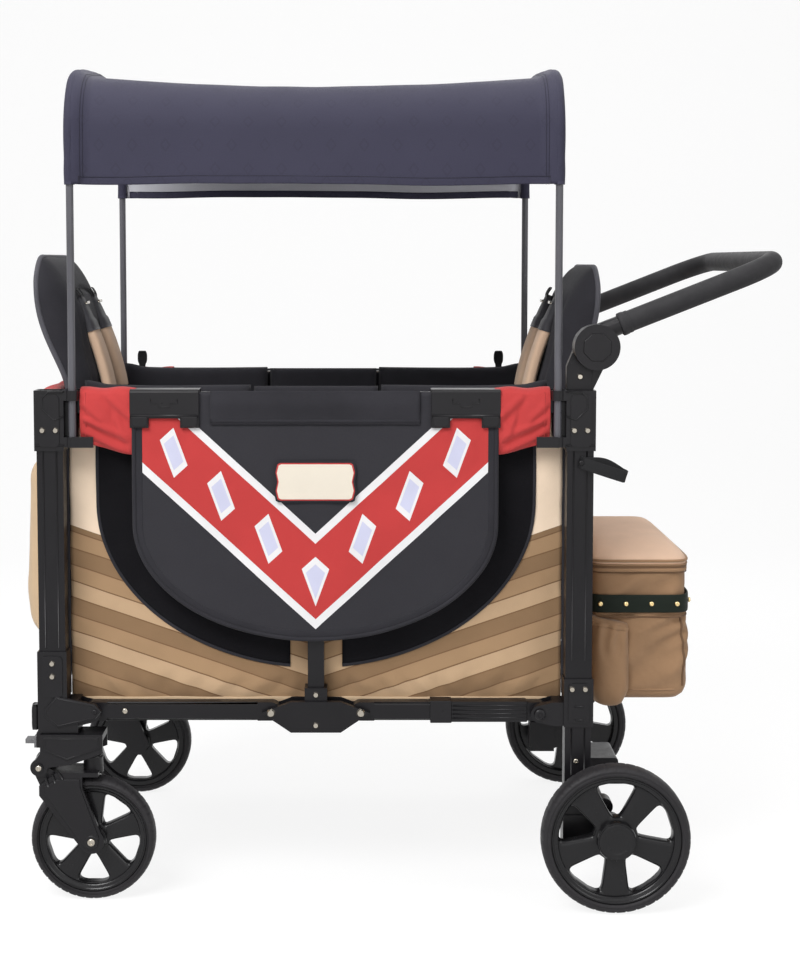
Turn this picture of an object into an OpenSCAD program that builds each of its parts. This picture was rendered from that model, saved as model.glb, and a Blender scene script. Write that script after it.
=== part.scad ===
// Stroller wagon for children: folding side frame, canopy, two facing seats and a rear bag.
// Millimetres, +Z up, standing on Z = 0. The handle end is +X and the left side is -Y.

/* [Frame] */
// X from the wagon's middle to the middle of each corner post
post_x = 420; // [416:1:424]
// Y from the wagon's middle to the middle of each corner post
post_y = 271; // [266:1:280]
// Post size along X
post_w = 42; // [40:0.5:44]
// Post size along Y
post_d = 30; // [28:0.5:31]
// Wall of the frame tubes
tube_wall = 1.5; // [1.2:0.1:2.5]
// Radius of the cross tubes between the posts
cross_r = 11; // [9:0.5:12]
// Height of the lower cross tubes
low_cross_z = 345; // [340:1:352]
// Height of the tube under each seat back
seat_cross_z = 449; // [446:1:449]
// Bottom of the rear legs above the ground
rear_foot_z = 84; // [80:1:90]
// Bottom of the front posts above the ground
front_foot_z = 300; // [298:1:304]
// X from the post's middle out to the end bar
bar_offset = 16; // [14:0.5:19]
// Height of the end bars
bar_z = 810; // [806:1:814]

/* [Rails] */
// Height of the lower rail pivots
lower_pivot_z = 304; // [302:1:307]
// Height of the upper rail pivots
upper_pivot_z = 805; // [800:1:810]
// X from the post's middle in to the end pivots
pivot_inset = 61; // [60:0.5:63]
// X from the wagon's middle to the centre block's pivots
block_pivot_x = 72; // [70:1:76]
// Rail height
rail_h = 30; // [26:1:31]
// Rail size along Y
rail_d = 22; // [20:0.5:22.5]
// Y from the post's middle in to the rail's middle
rail_inset = 13; // [12.5:0.5:14]
// Wall of the rail channels
rail_wall = 2; // [1.6:0.1:3]
// Chamfer along the rails' outer edges
rail_chamfer = 4; // [2:0.5:5]
// Solid length at each end of a rail around its pivot hole
rail_lug = 22; // [18:1:30]
// Radius of the pivot pins
pin_r = 4; // [3.5:0.1:4.5]
// Radial play of the pivot pins
pin_play = 0.06; // [0.03:0.01:0.09]
// Radius of the pivot pin heads
pin_head_r = 7; // [6:0.5:8]
// Height of the pivot pin heads
pin_head_h = 3; // [2:0.5:4]
// Gap at each side of a moving rail
side_gap = 0.4; // [0.35:0.05:0.6]
// X where the ribbed sleeve on each rear lower rail starts
rib_sleeve_x = 218; // [210:1:226]
// Length of the ribbed sleeve
rib_sleeve_len = 122; // [110:1:124]
// Wall of the ribbed sleeve
rib_sleeve_t = 1.6; // [1.2:0.1:1.8]
// Length of the collar in front of the ribbed sleeve
rail_collar_len = 34; // [28:1:40]
// Wall of the collar
rail_collar_t = 3; // [2.5:0.5:4]
// X from the wagon's middle to the middle of each rail clip
clip_x = 239; // [230:1:244]
// Clip length along the rail
clip_len = 110; // [102:1:116]
// Clip height below the rail's top
clip_drop = 41; // [37:1:46]
// Wall of the clips
clip_t = 5; // [4:0.5:5.5]
// Length of each clip leg along the rail
clip_leg_len = 30; // [26:1:36]
// Drop of the clip legs below the clip
clip_leg_drop = 15; // [10:1:18]
// Chamfer along the clips' outer edges
clip_chamfer = 4; // [2:0.5:4.5]

/* [Brackets] */
// Upper bracket height
upper_sleeve_h = 96; // [90:1:100]
// Top of the upper brackets above the upper pivots
upper_sleeve_rise = 19; // [19:0.5:21]
// Rear lower bracket height
rear_sleeve_h = 78; // [74:1:84]
// Bottom of the rear lower brackets below the lower pivots
rear_sleeve_drop = 20; // [19:1:24]
// Front lower bracket height above its base block
front_sleeve_h = 80; // [74:1:86]
// Front base block height
base_h = 52; // [51:1:55]
// Bracket wall on the outer side of the post
sleeve_out = 3; // [2.5:0.5:4]
// Bracket wall on the inner side of the post
sleeve_in = 2; // [1.5:0.1:2.2]
// Bracket wall on the left and right of the post
sleeve_side = 3; // [2.5:0.5:3]
// Clearance around a post inside its brackets
sleeve_gap = 0.1; // [0.05:0.05:0.2]
// Raised panel on the brackets' outer faces
panel_t = 2; // [1:0.5:2.5]
// Border of the raised panels
panel_border = 7; // [5:0.5:9]
// Thickness of the inner and upper arm cheeks
cheek_t = 4; // [3:0.5:4.5]
// Thickness of the outer lower arm cheeks
outer_cheek_t = 16; // [12:1:18]
// Radius of the arm bosses
boss_r = 14; // [12:0.5:14.5]
// Height of the arms at their root
arm_h = 38; // [36:1:38]
// X length of the arm roots
root_len = 19; // [17:0.5:20]
// Size of the bolt heads across
bolt_r = 5; // [4:0.5:6]
// Height of the bolt heads
bolt_h = 3; // [2:0.5:4]
// Bolt spacing on the brackets
bolt_step = 21; // [18:1:23]
// Top share of a bolt head against its bottom
bolt_top_share = 0.7; // [0.55:0.05:0.85]
// Bolt row above the bottom of the upper brackets
upper_bolt_rise = 33; // [28:1:38]
// Bolt row below the top of the lower brackets
lower_bolt_drop = 16; // [13:1:20]

/* [Centre] */
// Half length of the centre blocks
block_half_len = 87; // [86:1:89]
// Height of the lower blocks
block_h = 50; // [44:1:52]
// Half length of the block's top edge
block_top_half = 40; // [34:1:46]
// Thickness of the blocks' outer plates
block_out_t = 9; // [6:0.5:10]
// Half length of the web between the plates
web_half = 50; // [44:1:52]
// Centre post size along X
centre_post_w = 26; // [24:1:30]
// Centre post size along Y
centre_post_d = 20; // [18:0.5:20.5]
// Collar at the centre post's foot along X
collar_w = 36; // [32:1:40]
// Collar height
collar_h = 21; // [18:1:26]
// Radius of the tube that joins the two lower blocks
centre_tube_r = 8; // [7:0.5:9]
// Drop of that tube below the lower pivots
centre_tube_drop = 24; // [23:0.5:25]
// Drop of the upper blocks' plates below the upper pivots
upper_block_drop = 17; // [15:0.5:18]
// Rise of the upper blocks' plates above the upper pivots
upper_block_rise = 14; // [13:0.5:15]
// Thickness of the pull strap
strap_t = 2.4; // [2:0.1:3]
// Pull strap length along Y
strap_len = 150; // [130:1:170]
// Pull strap height above the tube that holds it
strap_h = 62; // [56:1:70]
// Border around the strap's hand slot
strap_border = 18; // [15:1:19]

/* [Wheels] */
// Rear wheel radius
rear_wheel_r = 118; // [114:1:121]
// Rear tyre width
rear_tyre_w = 40; // [36:1:44]
// Front wheel radius
front_wheel_r = 100; // [97:0.5:101]
// Front tyre width
front_tyre_w = 36; // [32:1:36.5]
// Rear tyre depth from tread to rim
rear_tyre_t = 15; // [13:0.5:17]
// Front tyre depth from tread to rim
front_tyre_t = 13; // [12.5:0.5:15]
// Rounding of the tyres' shoulders
tyre_round = 6; // [4:0.5:6]
// Gap between tyre and rim
tyre_gap = 0.1; // [0.05:0.05:0.2]
// Depth of the rim rings
rim_ring_t = 12; // [10:0.5:14]
// Difference between tyre width and rim ring width
rim_ring_less = 6; // [4:1:10]
// Radius of the rear hubs
rear_hub_r = 33; // [31:0.5:34]
// Radius of the front hubs
front_hub_r = 26; // [24:0.5:27]
// Spoke thickness along Y
spoke_t = 11; // [8:0.5:13]
// Spoke width at the hub against the hub radius
spoke_foot_share = 1; // [0.8:0.05:1]
// Spoke width at the rim against the hub radius
spoke_tip_share = 1.5; // [1.3:0.05:1.6]
// Number of spokes
spokes = 5; // [4:1:5]
// Radius of the hub caps against the hub radius
cap_share = 0.96; // [0.85:0.01:0.97]
// Thickness of the hub caps
cap_t = 6; // [4:0.5:8]
// Rear axle radius
axle_r = 6; // [5:0.25:7]
// Radial play of the wheels on their axles
axle_play = 0.06; // [0.03:0.01:0.09]
// X from the rear post's middle back to the rear axle
axle_offset = 55; // [52:1:58]
// Y from the post's middle out to the rear wheels' middle
rear_wheel_out = 59; // [58:1:64]
// Height of the carriers on the rear legs
carrier_h = 56; // [52:1:62]
// Radius of the axle bosses on the carriers
carrier_boss_r = 20; // [17:0.5:22]
// Thickness of the carrier arms along Y
carrier_t = 26; // [22:1:28]

/* [Casters] */
// X from the front post's middle in to the swivel axis
swivel_inset = 30; // [29.5:0.5:31]
// X from the swivel axis in to the front axle
trail = 31; // [28:1:34]
// X from the swivel axis out to the suspension pivot
susp_offset = 52; // [50:1:54]
// Height of the suspension pivots
susp_z = 220; // [218:1:222]
// Swivel stem radius
stem_r = 8; // [7:0.25:8.5]
// Radial play of the swivel stems
stem_play = 0.06; // [0.03:0.01:0.09]
// Length of the swivel stems above the yokes
stem_len = 36; // [32:1:38]
// Gap between yoke and base block
swivel_gap = 0.8; // [0.5:0.1:1.5]
// Half length of the yokes along X
yoke_half = 50; // [47:1:52]
// Half width of the yokes along Y
yoke_side = 25.5; // [25:0.25:27]
// Side plates of the yokes
yoke_plate_t = 3.5; // [3:0.25:4]
// Top plate of the yokes
yoke_top_t = 10; // [8:0.5:12]
// Height of the yokes at their inner end
yoke_end_h = 30; // [26:1:33]
// Height of the yokes at their lowest point
yoke_mid_h = 48; // [44:1:49]
// Radius of the suspension pivot bosses
susp_boss_r = 14; // [12:0.5:15]
// Radius of the suspension pivot pins
susp_pin_r = 5; // [4:0.25:6]
// Play of the fork knuckle between the yoke plates
knuckle_gap = 0.5; // [0.4:0.1:0.9]
// Inner gap between wheel and fork cheeks
fork_gap = 2; // [1.5:0.1:2.5]
// Thickness of the fork cheeks
fork_t = 7; // [6:0.5:8]
// Thickness of the plate over the wheel
bridge_t = 7; // [5:0.5:8]
// Gap between the wheel and the plate over it
bridge_gap = 5; // [4:0.5:6]
// Radius of the fork's axle bosses
fork_boss_r = 20; // [17:0.5:21]
// X from the front axle out to the fork legs' inner edge at the top
fork_leg_in = 14; // [10:1:18]
// Drop of the fork legs' inner edge below the plate over the wheel
fork_leg_drop = 18; // [14:1:24]
// Front axle radius
front_axle_r = 5; // [4:0.25:6]
// Mean radius of the suspension springs
spring_r = 9; // [8:0.5:10]
// Wire diameter of the suspension springs
spring_wire = 2.8; // [2.2:0.2:3.4]
// Turns of the suspension springs
spring_turns = 5; // [4:1:6]
// Gap at each end of a suspension spring
spring_seat_gap = 0.3; // [0.2:0.1:0.5]
// Size of the swivel lock plates along Y
lock_w = 20; // [16:1:24]
// Height of the swivel lock plates
lock_h = 18; // [15:1:19]
// Thickness of the swivel lock plates
lock_t = 4; // [3:0.5:5]
// Reach of the swivel lock tabs
lock_tab = 14; // [10:1:18]
// Height of the swivel lock tabs
lock_tab_h = 7; // [5:0.5:8]
// Thickness of the lock guides on the yokes
lock_guide_t = 8; // [6:0.5:10]

/* [Brake] */
// Brake shaft radius
brake_r = 5; // [4:0.25:6]
// X from the rear axle in to the brake shaft
brake_inset = 12; // [10:0.5:14]
// Brake shaft height above the rear axle
brake_rise = 36; // [33:1:39]
// Pedal width along Y
pedal_w = 96; // [84:1:110]
// Pedal length along X
pedal_len = 52; // [46:1:60]
// Pedal thickness
pedal_t = 14; // [11:0.5:17]
// Length of the brake pawls
pawl_len = 22; // [18:1:24]
// Thickness of the brake pawls along Y
pawl_t = 6; // [4:0.5:7]

/* [Handle] */
// X from the rear post's middle back to the handle pivots
handle_offset = 23; // [21:1:26]
// Height of the handle pivots above the upper rail pivots
handle_rise = 88; // [84:1:92]
// Angle of the handle above the ground plane
handle_tilt = 21.5; // [18:0.1:25]
// Length from the pivots to the cross grip
handle_len = 318; // [308:1:332]
// Bend radius of the handle corners
handle_bend = 72; // [64:1:80]
// Radius of the handle tube
handle_r = 12; // [11:0.5:13]
// Radius of the foam grip
grip_r = 17; // [16:0.5:18]
// Clearance of the foam grip on the handle tube
grip_gap = 0.15; // [0.1:0.05:0.3]
// Start of the foam grip from the pivots
grip_start = 48; // [47:1:70]
// Radius of the handle hubs
hub_r = 36; // [33:0.5:38]
// Thickness of the handle hubs along Y
hub_t = 31; // [30.5:0.5:34]
// Radius of the collars that hold the handle tube
hub_collar_r = 15; // [14.5:0.25:15]
// Length of the collars from the pivots
hub_collar_len = 46; // [45:0.5:46.5]
// Height of the handle's arms above the pivots, square to the arms
arm_rise = 19; // [17:0.5:20]
// Depth of the tube's seat in the collars
hub_seat = 8; // [6:0.5:8.5]
// Radius of the hub shafts
hub_shaft_r = 8; // [7:0.5:9]
// Thickness of the handle sockets along Y
socket_t = 18; // [16:0.5:18]
// Radius of the sockets around the pivots
socket_r = 31; // [28:0.5:33]
// Length of the socket spigots in the posts
spigot_len = 40; // [30:1:60]
// Radius of the eight-sided buttons
button_r = 23; // [20:0.5:25]
// Thickness of the buttons
button_t = 7; // [6:0.5:7]
// Depth of the button pockets
button_pocket = 9; // [8.5:0.5:10]
// Gap around the buttons
button_gap = 0.4; // [0.35:0.05:0.6]
// Proud height of the buttons
button_proud = 1.5; // [1:0.25:1.75]

/* [Canopy] */
// X from the post's middle in to the canopy poles
pole_inset = 36; // [35:0.25:37]
// Y from the post's middle out to the canopy poles
pole_out = 12.5; // [12:0.25:13.5]
// Radius of the canopy poles
pole_r = 6; // [5.5:0.1:6.2]
// Radial play of the poles in their guides
pole_play = 0.08; // [0.04:0.01:0.09]
// Bottom of the poles
pole_foot_z = 742; // [738:1:748]
// Top of the hoops' middle line
hoop_top_z = 1340; // [1332:1:1348]
// Rise of the hoops from the start of the bend to the top
hoop_rise = 106; // [102:1:112]
// Bend radius of the hoop corners
hoop_corner_r = 92; // [86:1:96]
// Radius of the pole guides
guide_r = 10; // [9:0.25:10.5]
// Height of the pole guides
guide_h = 16; // [13:0.5:20]
// Bottom of the lower guides above the bottom of the upper brackets
low_guide_rise = 6; // [2:1:12]
// Length of the pole latches
latch_len = 34; // [28:1:36]
// Height of the pole latches
latch_h = 17; // [13:1:20]
// Thickness of the pole latches
latch_t = 5; // [4:0.5:6]
// Drop of the canopy's hem below the start of the bend
canopy_drop = 86; // [74:1:98]
// Thickness of the canopy fabric
canopy_t = 2; // [1.5:0.1:3]
// Gap between hoops and canopy
canopy_gap = 0.4; // [0.3:0.1:0.8]
// Canopy overhang beyond the hoops' middle line
canopy_over = 7; // [6.5:0.5:10]
// Sag of the canopy between the hoops
canopy_sag = 28; // [18:1:34]

/* [Fabric] */
// Thickness of the side panels
side_t = 3; // [2:0.5:3.5]
// Bottom of the side panels
panel_low_z = 322; // [320.5:0.5:328]
// Gap between the side panels and the rail clips
side_panel_gap = 0.3; // [0.3:0.05:0.8]
// Top of the side panels above the upper pivots
side_panel_rise = 14; // [8:1:18]
// Thickness of the end panels
end_t = 3; // [2:0.5:3.5]
// X from the post's outer face out to the end panels
end_gap = 2; // [1:0.5:2.2]
// Depth of the front pocket
pocket_depth = 42; // [34:1:48]
// Half width of the front pocket
pocket_half = 175; // [160:1:190]
// Bottom of the front pocket
pocket_low_z = 405; // [398:1:415]
// Height of the front pocket
pocket_h = 300; // [280:1:320]
// Rounding of the pocket's edges
pocket_round = 20; // [14:1:24]
// Half width of the door flaps
flap_half = 288; // [280:1:296]
// Thickness of the door flaps
flap_t = 2.5; // [2:0.25:2.75]
// Top of the flaps above the upper pivots
flap_rise = 14; // [10:1:14.5]
// Height of the flaps' straight sides
flap_side_h = 210; // [195:1:225]
// Depth of the flaps' rounded bottom
flap_round_h = 185; // [170:1:195]
// Gap between the flaps and the centre blocks
flap_gap = 0.5; // [0.3:0.1:0.6]
// Wrist strap width along Y
wrist_w = 18; // [14:1:22]
// Wrist strap length
wrist_len = 88; // [78:1:98]
// Wrist strap thickness
wrist_t = 5; // [4:0.5:6]
// Height of the wrist strap on the rear post
wrist_z = 714; // [706:1:718]
// Drop angle of the wrist strap
wrist_tilt = 22; // [15:1:30]

/* [Seats] */
// X from the post's middle in to the foot of the seat backs
back_inset = 54; // [53:0.5:55]
// Height of the foot of the seat backs
back_foot_z = 440; // [439:0.5:441]
// Lean of the lower part of the seat backs
back_lean = 0.6; // [0.4:0.1:1]
// Further lean of the upper part of the seat backs
back_bend = 20; // [18:0.5:22]
// Share of the height below the bend
back_bend_share = 0.64; // [0.62:0.01:0.68]
// Ease of the bend against the height
back_ease_share = 0.05; // [0.03:0.01:0.08]
// Height of the seat backs
back_h = 597; // [585:1:610]
// Width of the seat backs
back_w = 330; // [310:1:350]
// Width at the top against the width at the foot
back_top_share = 0.66; // [0.6:0.02:0.74]
// Share of the height below the shoulders
back_shoulder_share = 0.8; // [0.74:0.01:0.84]
// Thickness of the seat backs at the foot and the top edge
back_t = 26; // [22:1:28]
// Thickness of the seat backs where they are fullest
back_mid_t = 54; // [48:1:56]
// Power that sets how high the seat backs are fullest
back_full_power = 3; // [2.8:0.1:3.2]
// Crown of the seat backs
back_crown = 9; // [6:0.5:11]
// Draw-in of the pads' sides
pad_pull = 7; // [4:0.5:10]
// Height of the seat hinges
seat_z = 462; // [461:1:465]
// Gap between seat and seat back
seat_gap = 0.4; // [0.35:0.05:0.8]
// Depth of the seats
seat_len = 236; // [225:1:245]
// Width of the seats
seat_w = 440; // [420:1:450]
// Thickness of the seat cushions at the edge
seat_t = 20; // [16:1:22]
// Crown of the seat cushions
seat_crown = 7; // [4:0.5:9]
// Depth of the channel across the seat cushions
seat_channel = 4; // [2:0.5:6]
// Thickness of the seat boards
board_t = 8; // [6:0.5:9]
// Top of the floor boards below the lower pivots
floor_drop = 4; // [3:0.5:6]
// Half width of the floor boards
floor_half = 232; // [220:1:234]
// X from the wagon's middle to the floor boards
floor_gap = 6; // [5:0.5:8]
// X from the end pivots in to the floor boards
floor_end = 12; // [8:1:20]
// Length of the tongues that carry the floor boards in the rails
rest_len = 80; // [60:1:86]
// Width of the shoulder pads
shoulder_w = 52; // [44:1:58]
// Length of the shoulder pads
shoulder_len = 130; // [115:1:145]
// Lean of the shoulder pads
shoulder_lean = 28; // [24:1:31]
// Thickness of the shoulder pads
shoulder_t = 10; // [8:0.5:12]
// Y from the middle to each shoulder pad
shoulder_y = 62; // [54:1:68]
// Drop of the shoulder pads below the top of the seat back
shoulder_drop = 131; // [122:1:142]
// Width of the harness straps
web_w = 26; // [22:1:30]
// Thickness of the harness straps
web_t = 3; // [2:0.5:4]
// Length of the harness straps below the pads
web_len = 155; // [140:1:170]
// Lean of the harness straps back to the seat
web_lean = 13; // [10:1:14]

/* [Bag] */
// X from the post's outer face out to the bag
bag_gap = 5.4; // [5.3:0.1:6]
// Bag depth along X
bag_len = 168; // [155:1:172]
// Half width of the bag
bag_half = 200; // [190:1:210]
// Bottom of the bag
bag_low_z = 306; // [300:1:312]
// Height of the bag below its lid
bag_h = 222; // [210:1:224]
// Wall of the bag
bag_wall = 5; // [4:0.5:6]
// Rounding of the bag's upright edges
bag_round = 26; // [20:1:32]
// Thickness of the bag's lid
lid_t = 14; // [12:1:16]
// Gap under the lid
lid_gap = 0.4; // [0.3:0.1:0.5]
// Depth of the bag's side pockets
side_pocket_t = 12; // [9:1:15]
// Length of the side pockets along X
side_pocket_len = 62; // [54:1:70]
// Height of the side pockets
side_pocket_h = 96; // [86:1:106]
// Bottom of the side pockets above the bottom of the bag
side_pocket_rise = 14; // [8:1:20]

/* [Detail] */
// Share of the canopy's steps on its crown
arch_crown_share = 0.36; // [0.3:0.02:0.42]
// Share of the canopy's steps above its straight sides
arch_bend_share = 0.82; // [0.78:0.02:0.86]
// Facets around round shapes
$fn = 64; // [48:8:96]
// Steps around a spring turn
spring_steps = 8; // [8:1:12]
// Sides of the spring wire
wire_sides = 6; // [6:1:8]
// Steps along the width of a cushion
pad_n = 12; // [10:2:16]
// Steps along the length of a cushion
pad_m = 16; // [14:2:20]
// Steps around the canopy
arch_n = 28; // [24:4:32]
// Steps along the canopy
arch_m = 10; // [8:2:12]
// Sides of the canopy poles
hoop_sides = 12; // [10:2:14]

/* [Hidden] */
// Every separately drawn piece, in drawing order
// Which piece is drawn, or all of them
// Overrun of every cut
over = 1;

pivot_x = post_x - pivot_inset;
rail_y = post_y - rail_inset;
rail_len = pivot_x - block_pivot_x;
post_in_x = post_x - post_w / 2;
post_out_x = post_x + post_w / 2;
post_in_y = post_y - post_d / 2;
post_out_y = post_y + post_d / 2;
post_top_z = upper_pivot_z + upper_sleeve_rise;
sleeve_low_z = post_top_z - upper_sleeve_h;
cheek_in_y = rail_y - rail_d / 2 - side_gap - cheek_t;
cheek_out_y = rail_y + rail_d / 2 + side_gap;
root_x = post_in_x - root_len;
pole_x = post_x - pole_inset;
pole_y = post_y + pole_out;
swivel_x = post_x - swivel_inset;
front_axle_x = swivel_x - trail;
susp_x = swivel_x + susp_offset;
base_low_z = front_foot_z + base_h / 2 - base_h;
yoke_top_z = base_low_z - swivel_gap;
base_top_z = base_low_z + base_h;
axle_x = post_x + axle_offset;
rear_wheel_y = post_y + rear_wheel_out;
brake_x = axle_x - brake_inset;
brake_z = rear_wheel_r + brake_rise;
handle_x = post_x + handle_offset;
handle_z = upper_pivot_z + handle_rise;
socket_y = post_in_y;
hub_y = socket_y + socket_t + side_gap;
arm_y = hub_y + hub_t / 2;
side_y = rail_y - rail_d / 2 - sleeve_gap - clip_t - side_panel_gap;
back_x = post_x - back_inset;
shoulder_z = back_h - shoulder_drop;
back_low_x = back_x + back_crown + back_t + (seat_cross_z + cross_r - back_foot_z) * tan(back_lean);
seat_cross_x = back_low_x + side_gap + cross_r;
bag_x = post_out_x + bag_gap;
flap_y = cheek_out_y + cheek_t + flap_gap;
// Whole length, for the middle of the bounding box
front_reach = post_out_x + end_gap + end_t + pocket_depth;
rear_reach = handle_x + handle_len * cos(handle_tilt) - arm_rise * sin(handle_tilt) + grip_r;
origin_x = (rear_reach - front_reach) / 2;

// Puts a piece drawn about the wagon's middle into the part's frame
module wagon() translate([-origin_x, 0, 0]) children();
// Turns a piece drawn at the rear right corner into the front right one
module at_front() mirror([1, 0, 0]) children();
// Turns a piece drawn on the right into the left one
module at_left() mirror([0, 1, 0]) children();
// Draws a piece on both sides
module both_sides() {
  children();
  at_left() children();
}
// A plate drawn in X and Z, from y0 on towards +Y
module xz_plate(y0, t) translate([0, y0 + t, 0]) rotate([90, 0, 0]) linear_extrude(t) children();
// A cylinder along Y from y0 to y1
module y_rod(x, z, y0, y1, r) translate([x, y0, z]) rotate([-90, 0, 0]) cylinder(h = y1 - y0, r = r);
// A box from one corner to the other
module box(a, b) translate(a) cube(b - a);
// A flat rounded rectangle about its middle
module rounded(w, h, r) {
  square([w - 2 * r, h], center = true);
  square([w, h - 2 * r], center = true);
  for (x = [r - w / 2, w / 2 - r], y = [r - h / 2, h / 2 - r]) translate([x, y]) circle(r);
}

// Closed sheet between two grids of points that hold m + 1 rows of n + 1 points
function ring(n, m) = concat(
  [for (i = [0 : n - 1]) i],
  [for (j = [0 : m - 1]) j * (n + 1) + n],
  [for (i = [n : -1 : 1]) m * (n + 1) + i],
  [for (j = [m : -1 : 1]) j * (n + 1)]
);
module sheet(top, low, n, m) {
  count = (n + 1) * (m + 1);
  edge = ring(n, m);
  polyhedron(concat(top, low), concat(
    [for (j = [0 : m - 1], i = [0 : n - 1]) let (k = j * (n + 1) + i) [k, k + n + 1, k + n + 2]],
    [for (j = [0 : m - 1], i = [0 : n - 1]) let (k = j * (n + 1) + i) [k, k + n + 2, k + 1]],
    [for (j = [0 : m - 1], i = [0 : n - 1]) let (k = count + j * (n + 1) + i) [k, k + n + 2, k + n + 1]],
    [for (j = [0 : m - 1], i = [0 : n - 1]) let (k = count + j * (n + 1) + i) [k, k + 1, k + n + 2]],
    [for (e = [0 : len(edge) - 1]) let (a = edge[e], b = edge[(e + 1) % len(edge)])
      [a, b, b + count]],
    [for (e = [0 : len(edge) - 1]) let (a = edge[e], b = edge[(e + 1) % len(edge)])
      [a, b + count, a + count]]
  ));
}

// Frame tubes

module post_tube(z0, z1) difference() {
  box([post_in_x, post_in_y, z0], [post_out_x, post_out_y, z1]);
  box([post_in_x + tube_wall, post_in_y + tube_wall, z0 - over],
      [post_out_x - tube_wall, post_out_y - tube_wall, z1 + over]);
}
module cross_tube(x, z, half) difference() {
  y_rod(x, z, -half, half, cross_r);
  y_rod(x, z, -half - over, half + over, cross_r - tube_wall);
}
module end_tubes(foot_z) {
  both_sides() post_tube(foot_z, post_top_z);
  cross_tube(post_x, low_cross_z, post_in_y);
  cross_tube(seat_cross_x, seat_cross_z, post_in_y);
  cross_tube(post_x + bar_offset, bar_z, post_in_y - sleeve_side);
}
module front_frame_tubes() color("DimGray") wagon() at_front() end_tubes(front_foot_z);
module rear_frame_tubes() color("DimGray") wagon() end_tubes(rear_foot_z);

// Corner brackets

module bracket_sleeve(z, h) {
  box([post_in_x - sleeve_in, post_in_y - sleeve_side, z],
      [post_out_x + sleeve_out, post_out_y + sleeve_side, z + h]);
  panel_z = z + h / 2;
  panel_x = post_x + (sleeve_out - sleeve_in) / 2;
  panel_w = post_w + sleeve_out + sleeve_in - 2 * panel_border;
  xz_plate(post_out_y + sleeve_side, panel_t) translate([panel_x, panel_z])
    rounded(panel_w, h - 2 * panel_border, panel_border);
}
module post_core(z0, z1)
  box([post_in_x - sleeve_gap, post_in_y - sleeve_gap, z0],
      [post_out_x + sleeve_gap, post_out_y + sleeve_gap, z1]);
module arm_outline(z) {
  translate([pivot_x, z]) circle(boss_r);
  polygon([[pivot_x, z + boss_r], [root_x, z + arm_h / 2], [post_in_x, z + arm_h / 2],
           [post_in_x, z - arm_h / 2], [root_x, z - arm_h / 2], [pivot_x, z - boss_r]]);
}
module arm(z, out_t) {
  xz_plate(cheek_in_y, cheek_t) arm_outline(z);
  xz_plate(cheek_out_y, out_t) arm_outline(z);
  box([root_x, cheek_in_y, z - arm_h / 2], [post_in_x, cheek_out_y + out_t, z + arm_h / 2]);
}
module cross_bore()
  y_rod(post_x, low_cross_z, post_in_y - sleeve_side - over, post_in_y + over, cross_r + sleeve_gap);
module pivot_bore(x, z)
  y_rod(x, z, cheek_in_y - over, cheek_out_y + outer_cheek_t + over, pin_r + pin_play);
module pole_guide(z) {
  translate([pole_x, pole_y, z]) cylinder(h = guide_h, r = guide_r);
  box([pole_x, pole_y - guide_r, z], [post_in_x, pole_y + pole_r, z + guide_h]);
}
module upper_bracket() difference() {
  low_z = sleeve_low_z + low_guide_rise;
  union() {
    bracket_sleeve(sleeve_low_z, upper_sleeve_h);
    arm(upper_pivot_z, cheek_t);
    pole_guide(low_z);
    pole_guide(post_top_z - guide_h);
    box([pole_x - latch_len, pole_y + pole_r, low_z],
        [pole_x, pole_y + pole_r + latch_t, low_z + latch_h]);
  }
  post_core(sleeve_low_z - over, post_top_z + over);
  pivot_bore(pivot_x, upper_pivot_z);
  translate([pole_x, pole_y, sleeve_low_z - over])
    cylinder(h = upper_sleeve_h + 2 * over, r = pole_r + pole_play);
}
module rear_lower_bracket() difference() {
  union() {
    bracket_sleeve(lower_pivot_z - rear_sleeve_drop, rear_sleeve_h);
    arm(lower_pivot_z, outer_cheek_t);
  }
  post_core(lower_pivot_z - rear_sleeve_drop - over, lower_pivot_z + rear_sleeve_h + over);
  pivot_bore(pivot_x, lower_pivot_z);
  cross_bore();
}
module front_lower_bracket() difference() {
  union() {
    bracket_sleeve(base_top_z, front_sleeve_h);
    arm(lower_pivot_z, outer_cheek_t);
    box([root_x, cheek_in_y, base_low_z],
        [post_out_x + sleeve_out, post_out_y + sleeve_side, base_top_z]);
  }
  post_core(front_foot_z - sleeve_gap, base_top_z + front_sleeve_h + over);
  pivot_bore(pivot_x, lower_pivot_z);
  cross_bore();
  translate([swivel_x, post_y, base_low_z - over])
    cylinder(h = stem_len + 2 * over, r = stem_r + stem_play);
}
module front_brackets() color("Black") wagon() at_front() both_sides() {
  upper_bracket();
  front_lower_bracket();
}
module rear_brackets() color("Black") wagon() both_sides() {
  upper_bracket();
  rear_lower_bracket();
}

// Bolts and pivot pins

module bolt(x, z, y) translate([x, y, z]) rotate([-90, 0, 0])
  cylinder(h = bolt_h, r1 = bolt_r, r2 = bolt_r * bolt_top_share);
module pivot_pin(x, z, out_y) {
  y_rod(x, z, cheek_in_y, out_y, pin_r);
  translate([x, out_y, z]) rotate([-90, 0, 0])
    cylinder(h = pin_head_h, r1 = pin_head_r, r2 = pin_head_r * bolt_top_share);
}
module end_bolts(low_z, upright) both_sides() {
  face_y = post_out_y + sleeve_side + panel_t;
  for (side = [-bolt_step / 2, bolt_step / 2]) {
    bolt(post_x + side, sleeve_low_z + upper_bolt_rise, face_y);
    if (upright) bolt(post_x, low_z - bolt_step - lower_bolt_drop / 2 + side, face_y);
    else bolt(post_x + side, low_z - lower_bolt_drop, face_y);
  }
  pivot_pin(pivot_x, upper_pivot_z, cheek_out_y + cheek_t);
  pivot_pin(pivot_x, lower_pivot_z, cheek_out_y + outer_cheek_t);
}
module front_bolts() color("Silver") wagon() at_front() end_bolts(base_top_z + front_sleeve_h, true);
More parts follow.
